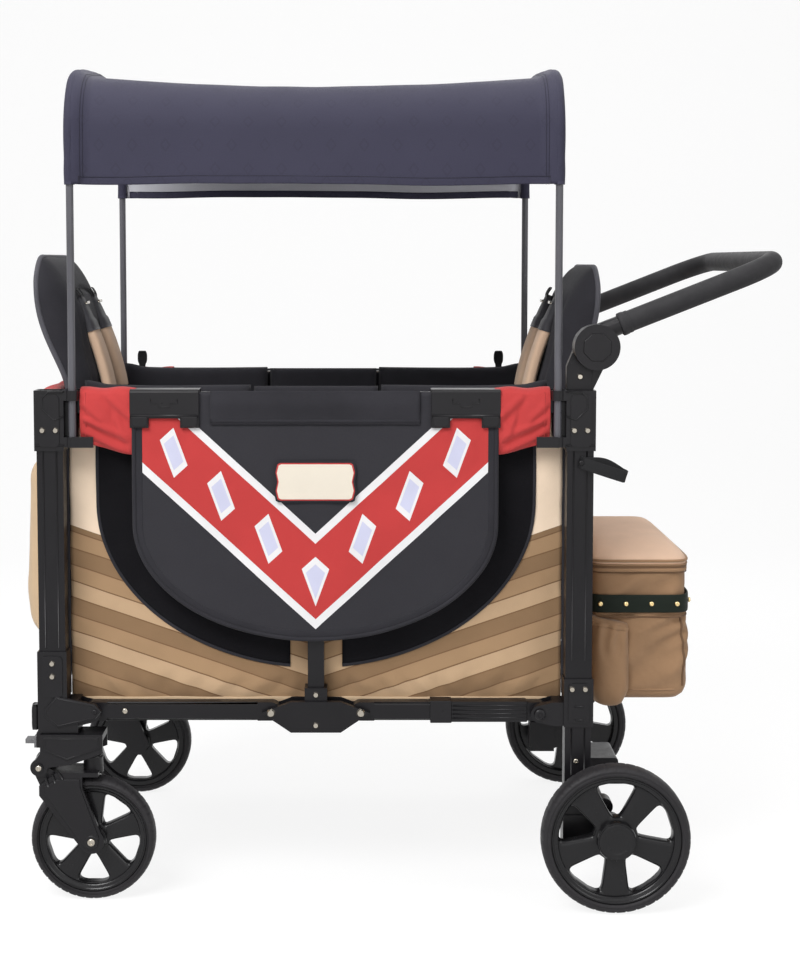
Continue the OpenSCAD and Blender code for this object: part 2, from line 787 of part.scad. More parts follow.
module rear_bolts() color("Silver") wagon() {
  end_bolts(lower_pivot_z - rear_sleeve_drop + rear_sleeve_h, false);
  both_sides() bolt(post_x, post_top_z + bolt_step, socket_y + socket_t);
}

// Rails

module rail_outline(z) {
  for (x = [block_pivot_x, pivot_x]) translate([x, z]) circle(rail_h / 2);
  translate([block_pivot_x, z - rail_h / 2]) square([rail_len, rail_h]);
}
module rail(z) difference() {
  xz_plate(rail_y - rail_d / 2, rail_d) rail_outline(z);
  box([block_pivot_x + rail_lug, rail_y - rail_d / 2 - over, z - rail_h / 2 + rail_wall],
      [pivot_x - rail_lug, rail_y + rail_d / 2 - rail_wall, z + rail_h / 2 - rail_wall]);
  for (x = [block_pivot_x, pivot_x]) y_rod(x, z, rail_y - rail_d, rail_y + rail_d, pin_r + pin_play);
  for (f = [0, 1]) translate([block_pivot_x + rail_lug, rail_y + rail_d / 2, z]) mirror([0, 0, f])
    translate([0, 0, rail_h / 2]) rotate([45, 0, 0])
    translate([0, -rail_chamfer / sqrt(2), -rail_chamfer / sqrt(2)])
    cube([rail_len - 2 * rail_lug, rail_chamfer * sqrt(2), rail_chamfer * sqrt(2)]);
}
module lower_rails() both_sides() rail(lower_pivot_z);
module upper_rails() both_sides() rail(upper_pivot_z);
module lower_front_rails() color("DimGray") wagon() at_front() lower_rails();
module upper_front_rails() color("DimGray") wagon() at_front() upper_rails();
module lower_rear_rails() color("DimGray") wagon() lower_rails();
module upper_rear_rails() color("DimGray") wagon() upper_rails();
module rail_shell(x, len, t) difference() {
  box([x, rail_y - rail_d / 2 - t, lower_pivot_z - rail_h / 2 - t],
      [x + len, rail_y + rail_d / 2 + t, lower_pivot_z + rail_h / 2 + t]);
  box([x - over, rail_y - rail_d / 2 - sleeve_gap, lower_pivot_z - rail_h / 2 - sleeve_gap],
      [x + len + over, rail_y + rail_d / 2 + sleeve_gap, lower_pivot_z + rail_h / 2 + sleeve_gap]);
}
module rear_rail_sleeves() color("Black") wagon() both_sides() {
  rail_shell(rib_sleeve_x, rib_sleeve_len, rib_sleeve_t);
  rail_shell(rib_sleeve_x - rail_collar_len, rail_collar_len, rail_collar_t);
}
module clip_outline() difference() {
  in_y = rail_y - rail_d / 2 - sleeve_gap;
  out_y = flap_y + flap_t + sleeve_gap;
  top_z = upper_pivot_z + rail_h / 2 + sleeve_gap;
  polygon([[in_y - clip_t, top_z - clip_drop], [out_y + clip_t, top_z - clip_drop],
           [out_y + clip_t, top_z + clip_t - clip_chamfer], [out_y + clip_t - clip_chamfer, top_z + clip_t],
           [in_y - clip_t, top_z + clip_t]]);
  translate([in_y, top_z - clip_drop - over]) square([out_y - in_y, clip_drop + over]);
}
module rail_clip() {
  out_y = flap_y + flap_t + sleeve_gap;
  low_z = upper_pivot_z + rail_h / 2 + sleeve_gap - clip_drop;
  translate([clip_x - clip_len / 2, 0, 0]) rotate([90, 0, 90]) linear_extrude(clip_len) clip_outline();
  for (x = [clip_x - clip_len / 2, clip_x + clip_len / 2 - clip_leg_len])
    box([x, out_y, low_z - clip_leg_drop], [x + clip_leg_len, out_y + clip_t, low_z]);
}
module front_rail_clips() color("Black") wagon() at_front() both_sides() rail_clip();
module rear_rail_clips() color("Black") wagon() both_sides() rail_clip();

// Floor boards on the lower rails

module floor_board() {
  box([floor_gap, -floor_half, lower_pivot_z - floor_drop - board_t],
      [pivot_x - floor_end, floor_half, lower_pivot_z - floor_drop]);
  rest_x = block_pivot_x + rail_lug + over;
  both_sides() box([rest_x, floor_half - over, lower_pivot_z - floor_drop - board_t],
    [rest_x + rest_len, rail_y + rail_d / 2 - rail_wall - sleeve_gap, lower_pivot_z - floor_drop]);
}
module front_floor_board() color("SaddleBrown") wagon() at_front() floor_board();
module rear_floor_board() color("SaddleBrown") wagon() floor_board();

// Centre blocks, posts and the pull strap between them

module block_outline(low_z, top_z, pivot_z) polygon([
  [block_half_len, pivot_z], [block_top_half, top_z], [-block_top_half, top_z],
  [-block_half_len, pivot_z], [-block_top_half, low_z], [block_top_half, low_z]
]);
module block(low_z, top_z, pivot_z, out_t) difference() {
  union() {
    xz_plate(cheek_in_y, cheek_t) block_outline(low_z, top_z, pivot_z);
    xz_plate(cheek_out_y, out_t) block_outline(low_z, top_z, pivot_z);
    box([-web_half, cheek_in_y, pivot_z - rail_h / 2], [web_half, cheek_out_y + cheek_t, pivot_z + pin_r]);
  }
  for (x = [-block_pivot_x, block_pivot_x]) pivot_bore(x, pivot_z);
}
module centre_frame() color("Black") wagon() {
  low_z = lower_pivot_z - block_h / 2 - pin_head_r;
  top_z = lower_pivot_z + block_h / 2 - pin_head_r;
  both_sides() difference() {
    union() {
      block(low_z, top_z, lower_pivot_z, block_out_t);
      block(upper_pivot_z - upper_block_drop, upper_pivot_z + upper_block_rise, upper_pivot_z, cheek_t);
      box([-centre_post_w / 2, rail_y - centre_post_d / 2, lower_pivot_z],
          [centre_post_w / 2, rail_y + centre_post_d / 2, upper_pivot_z]);
      box([-collar_w / 2, cheek_in_y, lower_pivot_z],
          [collar_w / 2, cheek_out_y + cheek_t, top_z + collar_h]);
    }
    box([-centre_post_w / 2 + tube_wall, rail_y - centre_post_d / 2 + tube_wall, lower_pivot_z],
        [centre_post_w / 2 - tube_wall, rail_y + centre_post_d / 2 - tube_wall, upper_pivot_z + rail_h]);
  }
  y_rod(0, lower_pivot_z - centre_tube_drop, -cheek_in_y - cheek_t, cheek_in_y + cheek_t, centre_tube_r);
}
module centre_bolts() color("Silver") wagon() both_sides() {
  top_z = lower_pivot_z + block_h / 2 - pin_head_r;
  for (x = [-block_pivot_x, block_pivot_x]) {
    pivot_pin(x, lower_pivot_z, cheek_out_y + block_out_t);
    y_rod(x, upper_pivot_z, cheek_in_y, cheek_out_y + cheek_t, pin_r);
  }
  bolt(0, lower_pivot_z - block_h / 2 + bolt_r, cheek_out_y + block_out_t);
  bolt(0, top_z + collar_h / 2, cheek_out_y + cheek_t);
}
module fold_strap() color("DarkSlateGray") wagon() {
  low_z = lower_pivot_z - centre_tube_drop + centre_tube_r;
  translate([-strap_t / 2, 0, low_z + strap_h / 2]) rotate([90, 0, 90]) linear_extrude(strap_t) difference() {
    rounded(strap_len, strap_h, strap_border);
    translate([0, strap_border / 2])
      rounded(strap_len - 2 * strap_border, strap_h - 2 * strap_border, bolt_h);
  }
}

// Wheels

module tyre_ring(r, w, t) rotate([-90, 0, 0]) rotate_extrude() {
  translate([r - t, -w / 2]) square([t - tyre_round, w]);
  translate([r - tyre_round - over, tyre_round - w / 2]) square([tyre_round + over, w - 2 * tyre_round]);
  for (y = [tyre_round - w / 2, w / 2 - tyre_round]) translate([r - tyre_round, y]) circle(tyre_round);
}
module wheel_rim(r, w, hub, bore, hub_w) rotate([-90, 0, 0]) {
  ring_w = w - rim_ring_less;
  difference() {
    union() {
      translate([0, 0, -ring_w / 2]) difference() {
        cylinder(h = ring_w, r = r);
        translate([0, 0, -over]) cylinder(h = ring_w + 2 * over, r = r - rim_ring_t);
      }
      for (k = [0 : spokes - 1]) rotate(k * 360 / spokes - 90) linear_extrude(spoke_t)
        polygon([[hub / 2, hub * spoke_foot_share / 2], [r - rim_ring_t / 2, hub * spoke_tip_share / 2],
                 [r - rim_ring_t / 2, -hub * spoke_tip_share / 2], [hub / 2, -hub * spoke_foot_share / 2]]);
      translate([0, 0, -hub_w / 2]) cylinder(h = hub_w, r = hub);
    }
    translate([0, 0, -hub_w]) cylinder(h = 2 * hub_w, r = bore);
  }
}
module hub_cap(hub, hub_w) translate([0, hub_w / 2, 0]) rotate([-90, 0, 0])
  cylinder(h = cap_t, r1 = hub * cap_share, r2 = hub * cap_share - cap_t / 2);
module at_rear_wheel() translate([axle_x, rear_wheel_y, rear_wheel_r]) children();
module at_front_wheel() translate([front_axle_x, post_y, front_wheel_r]) children();
module rear_tyre() at_rear_wheel() tyre_ring(rear_wheel_r, rear_tyre_w, rear_tyre_t - tyre_gap);
module rear_rim() at_rear_wheel() {
  mirror([0, 0, 1])
    wheel_rim(rear_wheel_r - rear_tyre_t, rear_tyre_w, rear_hub_r, axle_r + axle_play, rear_tyre_w);
  hub_cap(rear_hub_r, rear_tyre_w);
}
module front_tyre() at_front_wheel() tyre_ring(front_wheel_r, front_tyre_w, front_tyre_t - tyre_gap);
module front_rim() at_front_wheel()
  wheel_rim(front_wheel_r - front_tyre_t, front_tyre_w, front_hub_r, front_axle_r + axle_play,
    front_tyre_w);
module rear_tyre_right() color("DarkSlateGray") wagon() rear_tyre();
module rear_tyre_left() color("DarkSlateGray") wagon() at_left() rear_tyre();
module rear_rim_right() color("Black") wagon() rear_rim();
module rear_rim_left() color("Black") wagon() at_left() rear_rim();
module front_tyre_right() color("DarkSlateGray") wagon() at_front() front_tyre();
module front_tyre_left() color("DarkSlateGray") wagon() at_front() at_left() front_tyre();
module front_rim_right() color("Black") wagon() at_front() front_rim();
module front_rim_left() color("Black") wagon() at_front() at_left() front_rim();

// Rear axle, its carriers and the brake

module axle_carrier() difference() {
  union() {
    box([post_in_x - sleeve_in, post_in_y - sleeve_side, rear_foot_z - over],
        [post_out_x + sleeve_out, post_out_y + sleeve_side, rear_foot_z + carrier_h]);
    xz_plate(post_out_y + sleeve_side - carrier_t, carrier_t) {
      translate([axle_x, rear_wheel_r]) circle(carrier_boss_r);
      translate([brake_x, brake_z]) circle(boss_r);
      polygon([[post_out_x, rear_foot_z], [axle_x, rear_wheel_r - carrier_boss_r], [axle_x, rear_wheel_r],
               [brake_x, brake_z], [post_out_x, rear_foot_z + carrier_h]]);
    }
  }
  post_core(rear_foot_z - sleeve_gap, rear_foot_z + carrier_h + 2 * carrier_boss_r);
  y_rod(axle_x, rear_wheel_r, 0, rear_wheel_y, axle_r + sleeve_gap);
  y_rod(brake_x, brake_z, 0, rear_wheel_y, brake_r + axle_play);
}
module axle_carriers() color("Black") wagon() both_sides() axle_carrier();
module rear_axle() color("DimGray") wagon()
  y_rod(axle_x, rear_wheel_r, -rear_wheel_y - rear_tyre_w / 2, rear_wheel_y + rear_tyre_w / 2, axle_r);
module brake_pedal() color("Black") wagon() {
  end_y = post_out_y + sleeve_side + side_gap + pawl_t;
  y_rod(brake_x, brake_z, -end_y, end_y, brake_r);
  xz_plate(-pedal_w / 2, pedal_w) translate([brake_x + pedal_len / 2, brake_z])
    rounded(pedal_len + pedal_t, pedal_t, pedal_t / 2 - over);
  both_sides() xz_plate(end_y - pawl_t, pawl_t) polygon([
    [brake_x - brake_r, brake_z + brake_r], [brake_x + brake_r, brake_z + brake_r],
    [brake_x + brake_r, brake_z - pawl_len], [brake_x, brake_z - pawl_len], [brake_x - brake_r, brake_z]
  ]);
}

// Casters

module yoke_outline() {
  translate([susp_x, susp_z]) circle(susp_boss_r);
  polygon([
    [swivel_x + yoke_half, yoke_top_z], [swivel_x - yoke_half, yoke_top_z],
    [swivel_x - yoke_half, yoke_top_z - yoke_end_h], [swivel_x, yoke_top_z - yoke_mid_h],
    [susp_x - susp_boss_r, susp_z], [susp_x + susp_boss_r, susp_z],
    [swivel_x + yoke_half, yoke_top_z - yoke_end_h]
  ]);
}
module yoke() {
  for (y = [post_y - yoke_side, post_y + yoke_side - yoke_plate_t])
    xz_plate(y, yoke_plate_t) yoke_outline();
  box([swivel_x - yoke_half, post_y - yoke_side, yoke_top_z - yoke_top_t],
      [swivel_x + yoke_half, post_y + yoke_side, yoke_top_z]);
  box([swivel_x + yoke_half - over, post_y - lock_w / 2, yoke_top_z - lock_h - lock_tab_h],
      [swivel_x + yoke_half + lock_guide_t, post_y + lock_w / 2, yoke_top_z]);
  translate([swivel_x, post_y, yoke_top_z]) cylinder(h = stem_len, r = stem_r);
  y_rod(susp_x, susp_z, post_y - yoke_side, post_y + yoke_side, susp_pin_r);
  for (y = [post_y - yoke_side - bolt_h, post_y + yoke_side])
    y_rod(susp_x, susp_z, y, y + bolt_h, pin_head_r);
}
module lock() {
  lock_x = swivel_x + yoke_half + lock_guide_t + side_gap;
  low_z = yoke_top_z - lock_h - lock_tab_h;
  box([lock_x, post_y - lock_w / 2, low_z], [lock_x + lock_t, post_y + lock_w / 2, low_z + lock_h]);
  box([lock_x + lock_t, post_y - lock_w / 2, low_z + lock_tab_h],
      [lock_x + lock_t + lock_tab, post_y + lock_w / 2, low_z + 2 * lock_tab_h]);
}
bridge_low_z = 2 * front_wheel_r + bridge_gap;
bridge_top_z = bridge_low_z + bridge_t;
knuckle_half = yoke_side - yoke_plate_t - knuckle_gap;
cheek_half = front_tyre_w / 2 + fork_gap;
module cheek_outline() {
  translate([front_axle_x, front_wheel_r]) circle(fork_boss_r);
  polygon([
    [susp_x, bridge_low_z - susp_boss_r], [swivel_x + yoke_half / 2, bridge_top_z],
    [front_axle_x + fork_leg_in, bridge_top_z],
    [front_axle_x + fork_leg_in, bridge_low_z - fork_leg_drop],
    [front_axle_x - fork_boss_r, front_wheel_r],
    [front_axle_x + fork_boss_r * sin(45), front_wheel_r - fork_boss_r * cos(45)],
    [susp_x, bridge_low_z - yoke_end_h]
  ]);
}
module fork() {
  difference() {
    union() {
      xz_plate(post_y - knuckle_half, 2 * knuckle_half) {
        translate([susp_x, susp_z]) circle(susp_boss_r - over);
        polygon([
          [susp_x - susp_boss_r + over, susp_z], [susp_x + susp_boss_r - over, susp_z],
          [susp_x, bridge_low_z - susp_boss_r], [swivel_x + yoke_half / 2, bridge_low_z],
          [swivel_x + yoke_half / 2, bridge_top_z]
        ]);
      }
      box([front_axle_x - spring_r - spring_wire, post_y - cheek_half - fork_t, bridge_low_z],
          [swivel_x + yoke_half / 2, post_y + cheek_half + fork_t, bridge_top_z]);
      for (y = [post_y - cheek_half - fork_t, post_y + cheek_half]) xz_plate(y, fork_t) cheek_outline();
    }
    y_rod(susp_x, susp_z, post_y - yoke_side, post_y + yoke_side, susp_pin_r + axle_play);
  }
  y_rod(front_axle_x, front_wheel_r, post_y - cheek_half - fork_t, post_y + cheek_half + fork_t,
    front_axle_r);
}
// Suspension spring, one unbroken tube
spring_low_z = bridge_top_z + spring_seat_gap + spring_wire / 2;
spring_top_z = yoke_top_z - yoke_top_t - spring_seat_gap - spring_wire / 2;
spring_count = spring_turns * spring_steps;
function spring_point(k) = [
  spring_r * cos(k * 360 / spring_steps), spring_r * sin(k * 360 / spring_steps),
  (spring_top_z - spring_low_z) * k / spring_count
];
function wire_point(k, a) = spring_point(k) + spring_wire / 2 * [
  cos(a) * cos(k * 360 / spring_steps), cos(a) * sin(k * 360 / spring_steps), sin(a)
];
spring_self_gap = min([for (k = [0 : spring_count - spring_steps])
  norm(spring_point(k + spring_steps) - spring_point(k)) - spring_wire]);
echo(spring_self_gap = spring_self_gap);
module spring() translate([front_axle_x, post_y, spring_low_z]) {
  points = [for (k = [0 : spring_count], s = [0 : wire_sides - 1]) wire_point(k, s * 360 / wire_sides)];
  last = spring_count * wire_sides;
  polyhedron(points, concat(
    [for (k = [0 : spring_count - 1], s = [0 : wire_sides - 1])
      let (a = k * wire_sides, t = (s + 1) % wire_sides) [a + s, a + t, a + wire_sides + t]],
    [for (k = [0 : spring_count - 1], s = [0 : wire_sides - 1])
      let (a = k * wire_sides, t = (s + 1) % wire_sides) [a + s, a + wire_sides + t, a + wire_sides + s]],
    [[for (s = [wire_sides - 1 : -1 : 0]) s]],
    [[for (s = [0 : wire_sides - 1]) last + s]]
  ));
}
module caster_yoke_right() color("Black") wagon() at_front() yoke();
module caster_yoke_left() color("Black") wagon() at_front() at_left() yoke();
module swivel_lock_right() color("Gray") wagon() at_front() lock();
module swivel_lock_left() color("Gray") wagon() at_front() at_left() lock();
module fork_right() color("Black") wagon() at_front() fork();
module fork_left() color("Black") wagon() at_front() at_left() fork();
module front_spring_right() color("Silver") wagon() at_front() spring();
module front_spring_left() color("Silver") wagon() at_front() at_left() spring();

// Handle

module in_handle() translate([handle_x, 0, handle_z]) rotate([0, -handle_tilt, 0]) children();
module on_arm() translate([0, 0, arm_rise]) children();
module handle_path(r, start) {
  corner_y = arm_y - handle_bend;
  corner_x = handle_len - handle_bend;
  both_sides() {
    translate([start, arm_y, 0]) rotate([0, 90, 0]) cylinder(h = corner_x - start, r = r);
    translate([corner_x, corner_y, 0]) rotate_extrude(angle = 90) translate([handle_bend, 0]) circle(r);
  }
  translate([handle_len, -corner_y, 0]) rotate([-90, 0, 0]) cylinder(h = 2 * corner_y, r = r);
}
module handle_bar() color("DimGray") wagon() in_handle() on_arm() difference() {
  handle_path(handle_r, hub_collar_len - hub_seat);
  handle_path(handle_r - tube_wall, hub_collar_len - hub_seat - over);
}
module handle_grip() color("DarkSlateGray") wagon() in_handle() on_arm() difference() {
  handle_path(grip_r, grip_start);
  handle_path(handle_r + grip_gap, grip_start - over);
}
module handle_hub() difference() {
  union() {
    translate([0, hub_y, 0]) rotate([-90, 0, 0]) cylinder(h = hub_t, r = hub_r);
    on_arm() translate([0, arm_y, 0]) rotate([0, 90, 0]) cylinder(h = hub_collar_len, r = hub_collar_r);
    translate([0, socket_y, 0]) rotate([-90, 0, 0]) cylinder(h = hub_t, r = hub_shaft_r);
  }
  on_arm() translate([hub_collar_len - hub_seat - over, arm_y, 0]) rotate([0, 90, 0])
    cylinder(h = hub_seat + 2 * over, r = handle_r + grip_gap);
  translate([0, hub_y + hub_t - button_pocket, 0]) rotate([-90, 0, 0])
    cylinder(h = button_pocket + over, r = button_r + button_gap, $fn = 8);
}
module handle_button() translate([0, hub_y + hub_t - button_t + button_proud, 0]) rotate([-90, 0, 0])
  cylinder(h = button_t, r = button_r, $fn = 8);
module handle_hubs() color("Black") wagon() in_handle() both_sides() handle_hub();
module handle_button_right() color("DimGray") wagon() in_handle() handle_button();
module handle_button_left() color("DimGray") wagon() in_handle() at_left() handle_button();
module handle_socket() {
  difference() {
    xz_plate(socket_y, socket_t) {
      translate([handle_x, handle_z]) circle(socket_r);
      polygon([[post_in_x, post_top_z], [post_out_x, post_top_z], [handle_x + socket_r, handle_z],
               [handle_x - socket_r, handle_z], [post_in_x, handle_z - socket_r]]);
    }
    y_rod(handle_x, handle_z, socket_y - over, post_out_y + over, hub_shaft_r + axle_play);
  }
  box([post_in_x + tube_wall + sleeve_gap, post_in_y + tube_wall + sleeve_gap, post_top_z - spigot_len],
      [post_out_x - tube_wall - sleeve_gap, socket_y + socket_t, post_top_z + over]);
}
module handle_sockets() color("Black") wagon() both_sides() handle_socket();

// Canopy

hoop_bend_z = hoop_top_z - hoop_rise;
hoop_side = pole_y - hoop_corner_r;
hoop_crown_r = (hoop_side ^ 2 + hoop_rise ^ 2 - hoop_corner_r ^ 2) / (2 * (hoop_rise - hoop_corner_r));
hoop_crown_z = hoop_top_z - hoop_crown_r;
hoop_turn = atan2(hoop_side, hoop_bend_z - hoop_crown_z);
function on_circle(y, z, r, a) = [y + r * sin(a), z + r * cos(a)];
// Point on the hoop's line moved out by d, at share s from the left hem to the right one
function arch_point(s, d) =
  let (
    f = 2 * s - 1,
    g = abs(f),
    side = f < 0 ? -1 : 1,
    crown_share = arch_crown_share,
    bend_share = arch_bend_share,
    p = g < crown_share ? on_circle(0, hoop_crown_z, hoop_crown_r + d, g / crown_share * hoop_turn)
      : g < bend_share ? on_circle(hoop_side, hoop_bend_z, hoop_corner_r + d,
          hoop_turn + (g - crown_share) / (bend_share - crown_share) * (90 - hoop_turn))
      : [pole_y + d, hoop_bend_z - (g - bend_share) / (1 - bend_share) * canopy_drop]
  ) [side * p[0], p[1]];
function canopy_grid(d) = [for (j = [0 : arch_m], i = [0 : arch_n])
  let (
    half = pole_x + canopy_over,
    q = 2 * j / arch_m - 1,
    flat = min(1, abs(q) / (1 - 2 / arch_m)),
    g = abs(2 * i / arch_n - 1),
    p = arch_point(i / arch_n, d - canopy_sag * (1 - flat ^ 2) * (1 - g ^ 2))
  ) [q * half, p[0], p[1]]];
// Hoop tube: rings of points from the left foot over the arch to the right foot
function hoop_ring(s, z) = [for (k = [0 : hoop_sides - 1])
  let (a = k * 360 / hoop_sides, p = arch_point(s, pole_r * cos(a)))
  [pole_x + pole_r * sin(a), p[0], z > 0 ? z : p[1]]];
module hoop() {
  rings = concat([hoop_ring(0, pole_foot_z)], [for (i = [0 : arch_n]) hoop_ring(i / arch_n, 0)],
    [hoop_ring(1, pole_foot_z)]);
  points = [for (r = rings, p = r) p];
  last = (len(rings) - 1) * hoop_sides;
  polyhedron(points, concat(
    [for (j = [0 : len(rings) - 2], k = [0 : hoop_sides - 1])
      let (a = j * hoop_sides, t = (k + 1) % hoop_sides) [a + k, a + hoop_sides + t, a + t]],
    [for (j = [0 : len(rings) - 2], k = [0 : hoop_sides - 1])
      let (a = j * hoop_sides, t = (k + 1) % hoop_sides) [a + k, a + hoop_sides + k, a + hoop_sides + t]],
    [[for (k = [0 : hoop_sides - 1]) k]],
    [[for (k = [hoop_sides - 1 : -1 : 0]) last + k]]
  ));
}
module canopy_sheet() {
  gap = pole_r + canopy_gap;
  sheet(canopy_grid(gap + canopy_t), canopy_grid(gap), arch_n, arch_m);
}
module front_canopy_hoop() color("Gray") wagon() at_front() hoop();
module rear_canopy_hoop() color("Gray") wagon() hoop();
module canopy_fabric() color("SlateGray") wagon() canopy_sheet();

// Fabric panels

module side_panels() color("Tan") wagon() both_sides()
  box([-post_in_x + sleeve_in, side_y - side_t, panel_low_z],
      [post_in_x - sleeve_in, side_y, upper_pivot_z + side_panel_rise]);
module end_panel() box([post_out_x + end_gap, -post_in_y + sleeve_side + side_gap, base_top_z + side_gap],
  [post_out_x + end_gap + end_t, post_in_y - sleeve_side - side_gap, bar_z - cross_r - side_gap]);
module front_end_panel() color("Black") wagon() at_front() {
  end_panel();
  translate([post_out_x + end_gap + end_t, 0, pocket_low_z + pocket_h / 2]) rotate([90, 0, 90]) {
    linear_extrude(pocket_depth / 2) rounded(2 * pocket_half, pocket_h, pocket_round);
    linear_extrude(pocket_depth)
      rounded(2 * (pocket_half - pocket_round), pocket_h - 2 * pocket_round, pocket_round);
  }
}
module rear_end_panel() color("Black") wagon() end_panel();
module flap_outline() {
  top_z = upper_pivot_z + flap_rise;
  low_z = top_z - flap_side_h;
  translate([-flap_half, low_z]) square([2 * flap_half, flap_side_h]);
  intersection() {
    translate([0, low_z]) scale([1, flap_round_h / flap_half]) circle(flap_half);
    translate([-flap_half, low_z - flap_round_h]) square([2 * flap_half, flap_round_h]);
  }
}
module door_flaps() color("FireBrick") wagon() both_sides() xz_plate(flap_y, flap_t) flap_outline();
module wrist_strap() color("Black") wagon() at_left()
  translate([post_x, post_out_y + side_gap, wrist_z]) rotate([0, wrist_tilt, 0])
  box([-wrist_w / 2, 0, -wrist_t / 2], [wrist_len, wrist_w, wrist_t / 2]);

// Seats: crowned pads on a grid over the width and the height

function pad_crown(u, v) = (1 - u ^ 4) * (1 - v ^ 4);
function shoulder(v) = v < back_shoulder_share ? 1
  : 1 - (1 - back_top_share) * ((v - back_shoulder_share) / (1 - back_shoulder_share)) ^ 3;
function back_ease(t) = sqrt(t ^ 2 + back_ease_share ^ 2) - back_ease_share;
function back_out(v) = back_h * tan(back_bend) * back_ease(max(0, v - back_bend_share));
function back_face(u, v) = back_crown * (1 - pad_crown(u, v)) + back_out(v);
function back_depth(v) = back_t + (back_mid_t - back_t) * sin(180 * v ^ back_full_power) ^ 2;
function back_grid(side) = [for (j = [0 : pad_m], i = [0 : pad_n])
  let (u = 2 * i / pad_n - 1, v = j / pad_m, w = 2 * v - 1)
  [side > 0 ? back_crown + back_out(v) + back_depth(v) : back_face(u, v),
   u * (back_w / 2 * shoulder(v) - pad_pull * (1 - w ^ 2)), v * back_h]];
function seat_top(u, v) =
  (seat_crown - seat_channel * (1 - min(1, abs(4 * v)) ^ 2)) * pad_crown(u, v);
function seat_grid(side) = [for (j = [0 : pad_m], i = [0 : pad_n])
  let (u = 2 * i / pad_n - 1, v = 2 * j / pad_m - 1)
  [-seat_gap - seat_len / 2 * (1 + v),
   u * (seat_w / 2 - pad_pull * (1 - v ^ 2)), side > 0 ? seat_top(u, v) - seat_crown : -seat_crown - seat_t]];
module in_back() translate([back_x, 0, back_foot_z]) rotate([0, back_lean, 0]) children();
module seat_back() in_back() sheet(back_grid(0), back_grid(1), pad_n, pad_m);
module seat_cushion() translate([back_x, 0, seat_z])
  sheet(seat_grid(1), seat_grid(0), pad_n, pad_m);
module seat_board() translate([back_x, 0, seat_z - seat_crown - seat_t - board_t])
  box([-seat_gap - seat_len + pad_pull, -seat_w / 2 + 2 * pad_pull, 0],
      [-seat_gap - pad_pull, seat_w / 2 - 2 * pad_pull, board_t]);
module harness() {
  in_y = shoulder_y - shoulder_w / 2;
  face_x = back_face(2 * in_y / back_w, shoulder_z / back_h);
  in_back() both_sides() translate([face_x - side_gap, 0, shoulder_z]) rotate([0, shoulder_lean, 0]) {
    box([-shoulder_t, in_y, -shoulder_len], [0, in_y + shoulder_w, 0]);
    translate([-shoulder_t / 2, 0, -shoulder_len + over]) rotate([0, -shoulder_lean - web_lean, 0])
      box([-web_t / 2, shoulder_y - web_w / 2, -web_len], [web_t / 2, shoulder_y + web_w / 2, 0]);
  }
}
module front_seat_back() color("Black") wagon() at_front() seat_back();
module rear_seat_back() color("Black") wagon() seat_back();
module seat_base() {
  seat_cushion();
  seat_board();
}
module front_seat_base() color("Black") wagon() at_front() seat_base();
module rear_seat_base() color("Black") wagon() seat_base();
module front_harness() color("Tan") wagon() at_front() harness();
module rear_harness() color("Tan") wagon() harness();

// Rear bag

module bag_plan(less) translate([bag_x + bag_len / 2, 0])
  rounded(bag_len - 2 * less, 2 * (bag_half - less), bag_round - less);
module rear_bag() color("Peru") wagon() {
  difference() {
    translate([0, 0, bag_low_z]) linear_extrude(bag_h) bag_plan(0);
    translate([0, 0, bag_low_z + bag_wall]) linear_extrude(bag_h) bag_plan(bag_wall);
  }
  both_sides() translate([bag_x + (bag_len - side_pocket_len) / 2, bag_half, bag_low_z + side_pocket_rise])
    cube([side_pocket_len, side_pocket_t, side_pocket_h]);
}
module bag_lid() color("Peru") wagon()
  translate([0, 0, bag_low_z + bag_h + lid_gap]) linear_extrude(lid_t) bag_plan(0);

front_frame_tubes();
front_brackets();
front_end_panel();
front_seat_back();
front_harness();
front_bolts();
front_seat_base();
caster_yoke_left();
caster_yoke_right();
fork_left();
fork_right();
front_tyre_left();
front_tyre_right();
front_rim_left();
front_rim_right();
front_spring_left();
front_spring_right();
swivel_lock_left();
swivel_lock_right();
lower_front_rails();
front_floor_board();
upper_front_rails();
front_rail_clips();
centre_frame();
centre_bolts();
fold_strap();
door_flaps();
lower_rear_rails();
rear_rail_sleeves();
rear_floor_board();
upper_rear_rails();
rear_rail_clips();
rear_frame_tubes();
rear_brackets();
axle_carriers();
rear_axle();
rear_end_panel();
rear_seat_back();
rear_harness();
rear_seat_base();
rear_bolts();
rear_bag();
bag_lid();
side_panels();
wrist_strap();
handle_sockets();
handle_hubs();
handle_bar();
handle_grip();
handle_button_left();
handle_button_right();
rear_tyre_left();
rear_tyre_right();
rear_rim_left();
rear_rim_right();
brake_pedal();
front_canopy_hoop();
rear_canopy_hoop();
canopy_fabric();
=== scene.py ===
"""Looks of a folding stroller wagon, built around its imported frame."""
import math

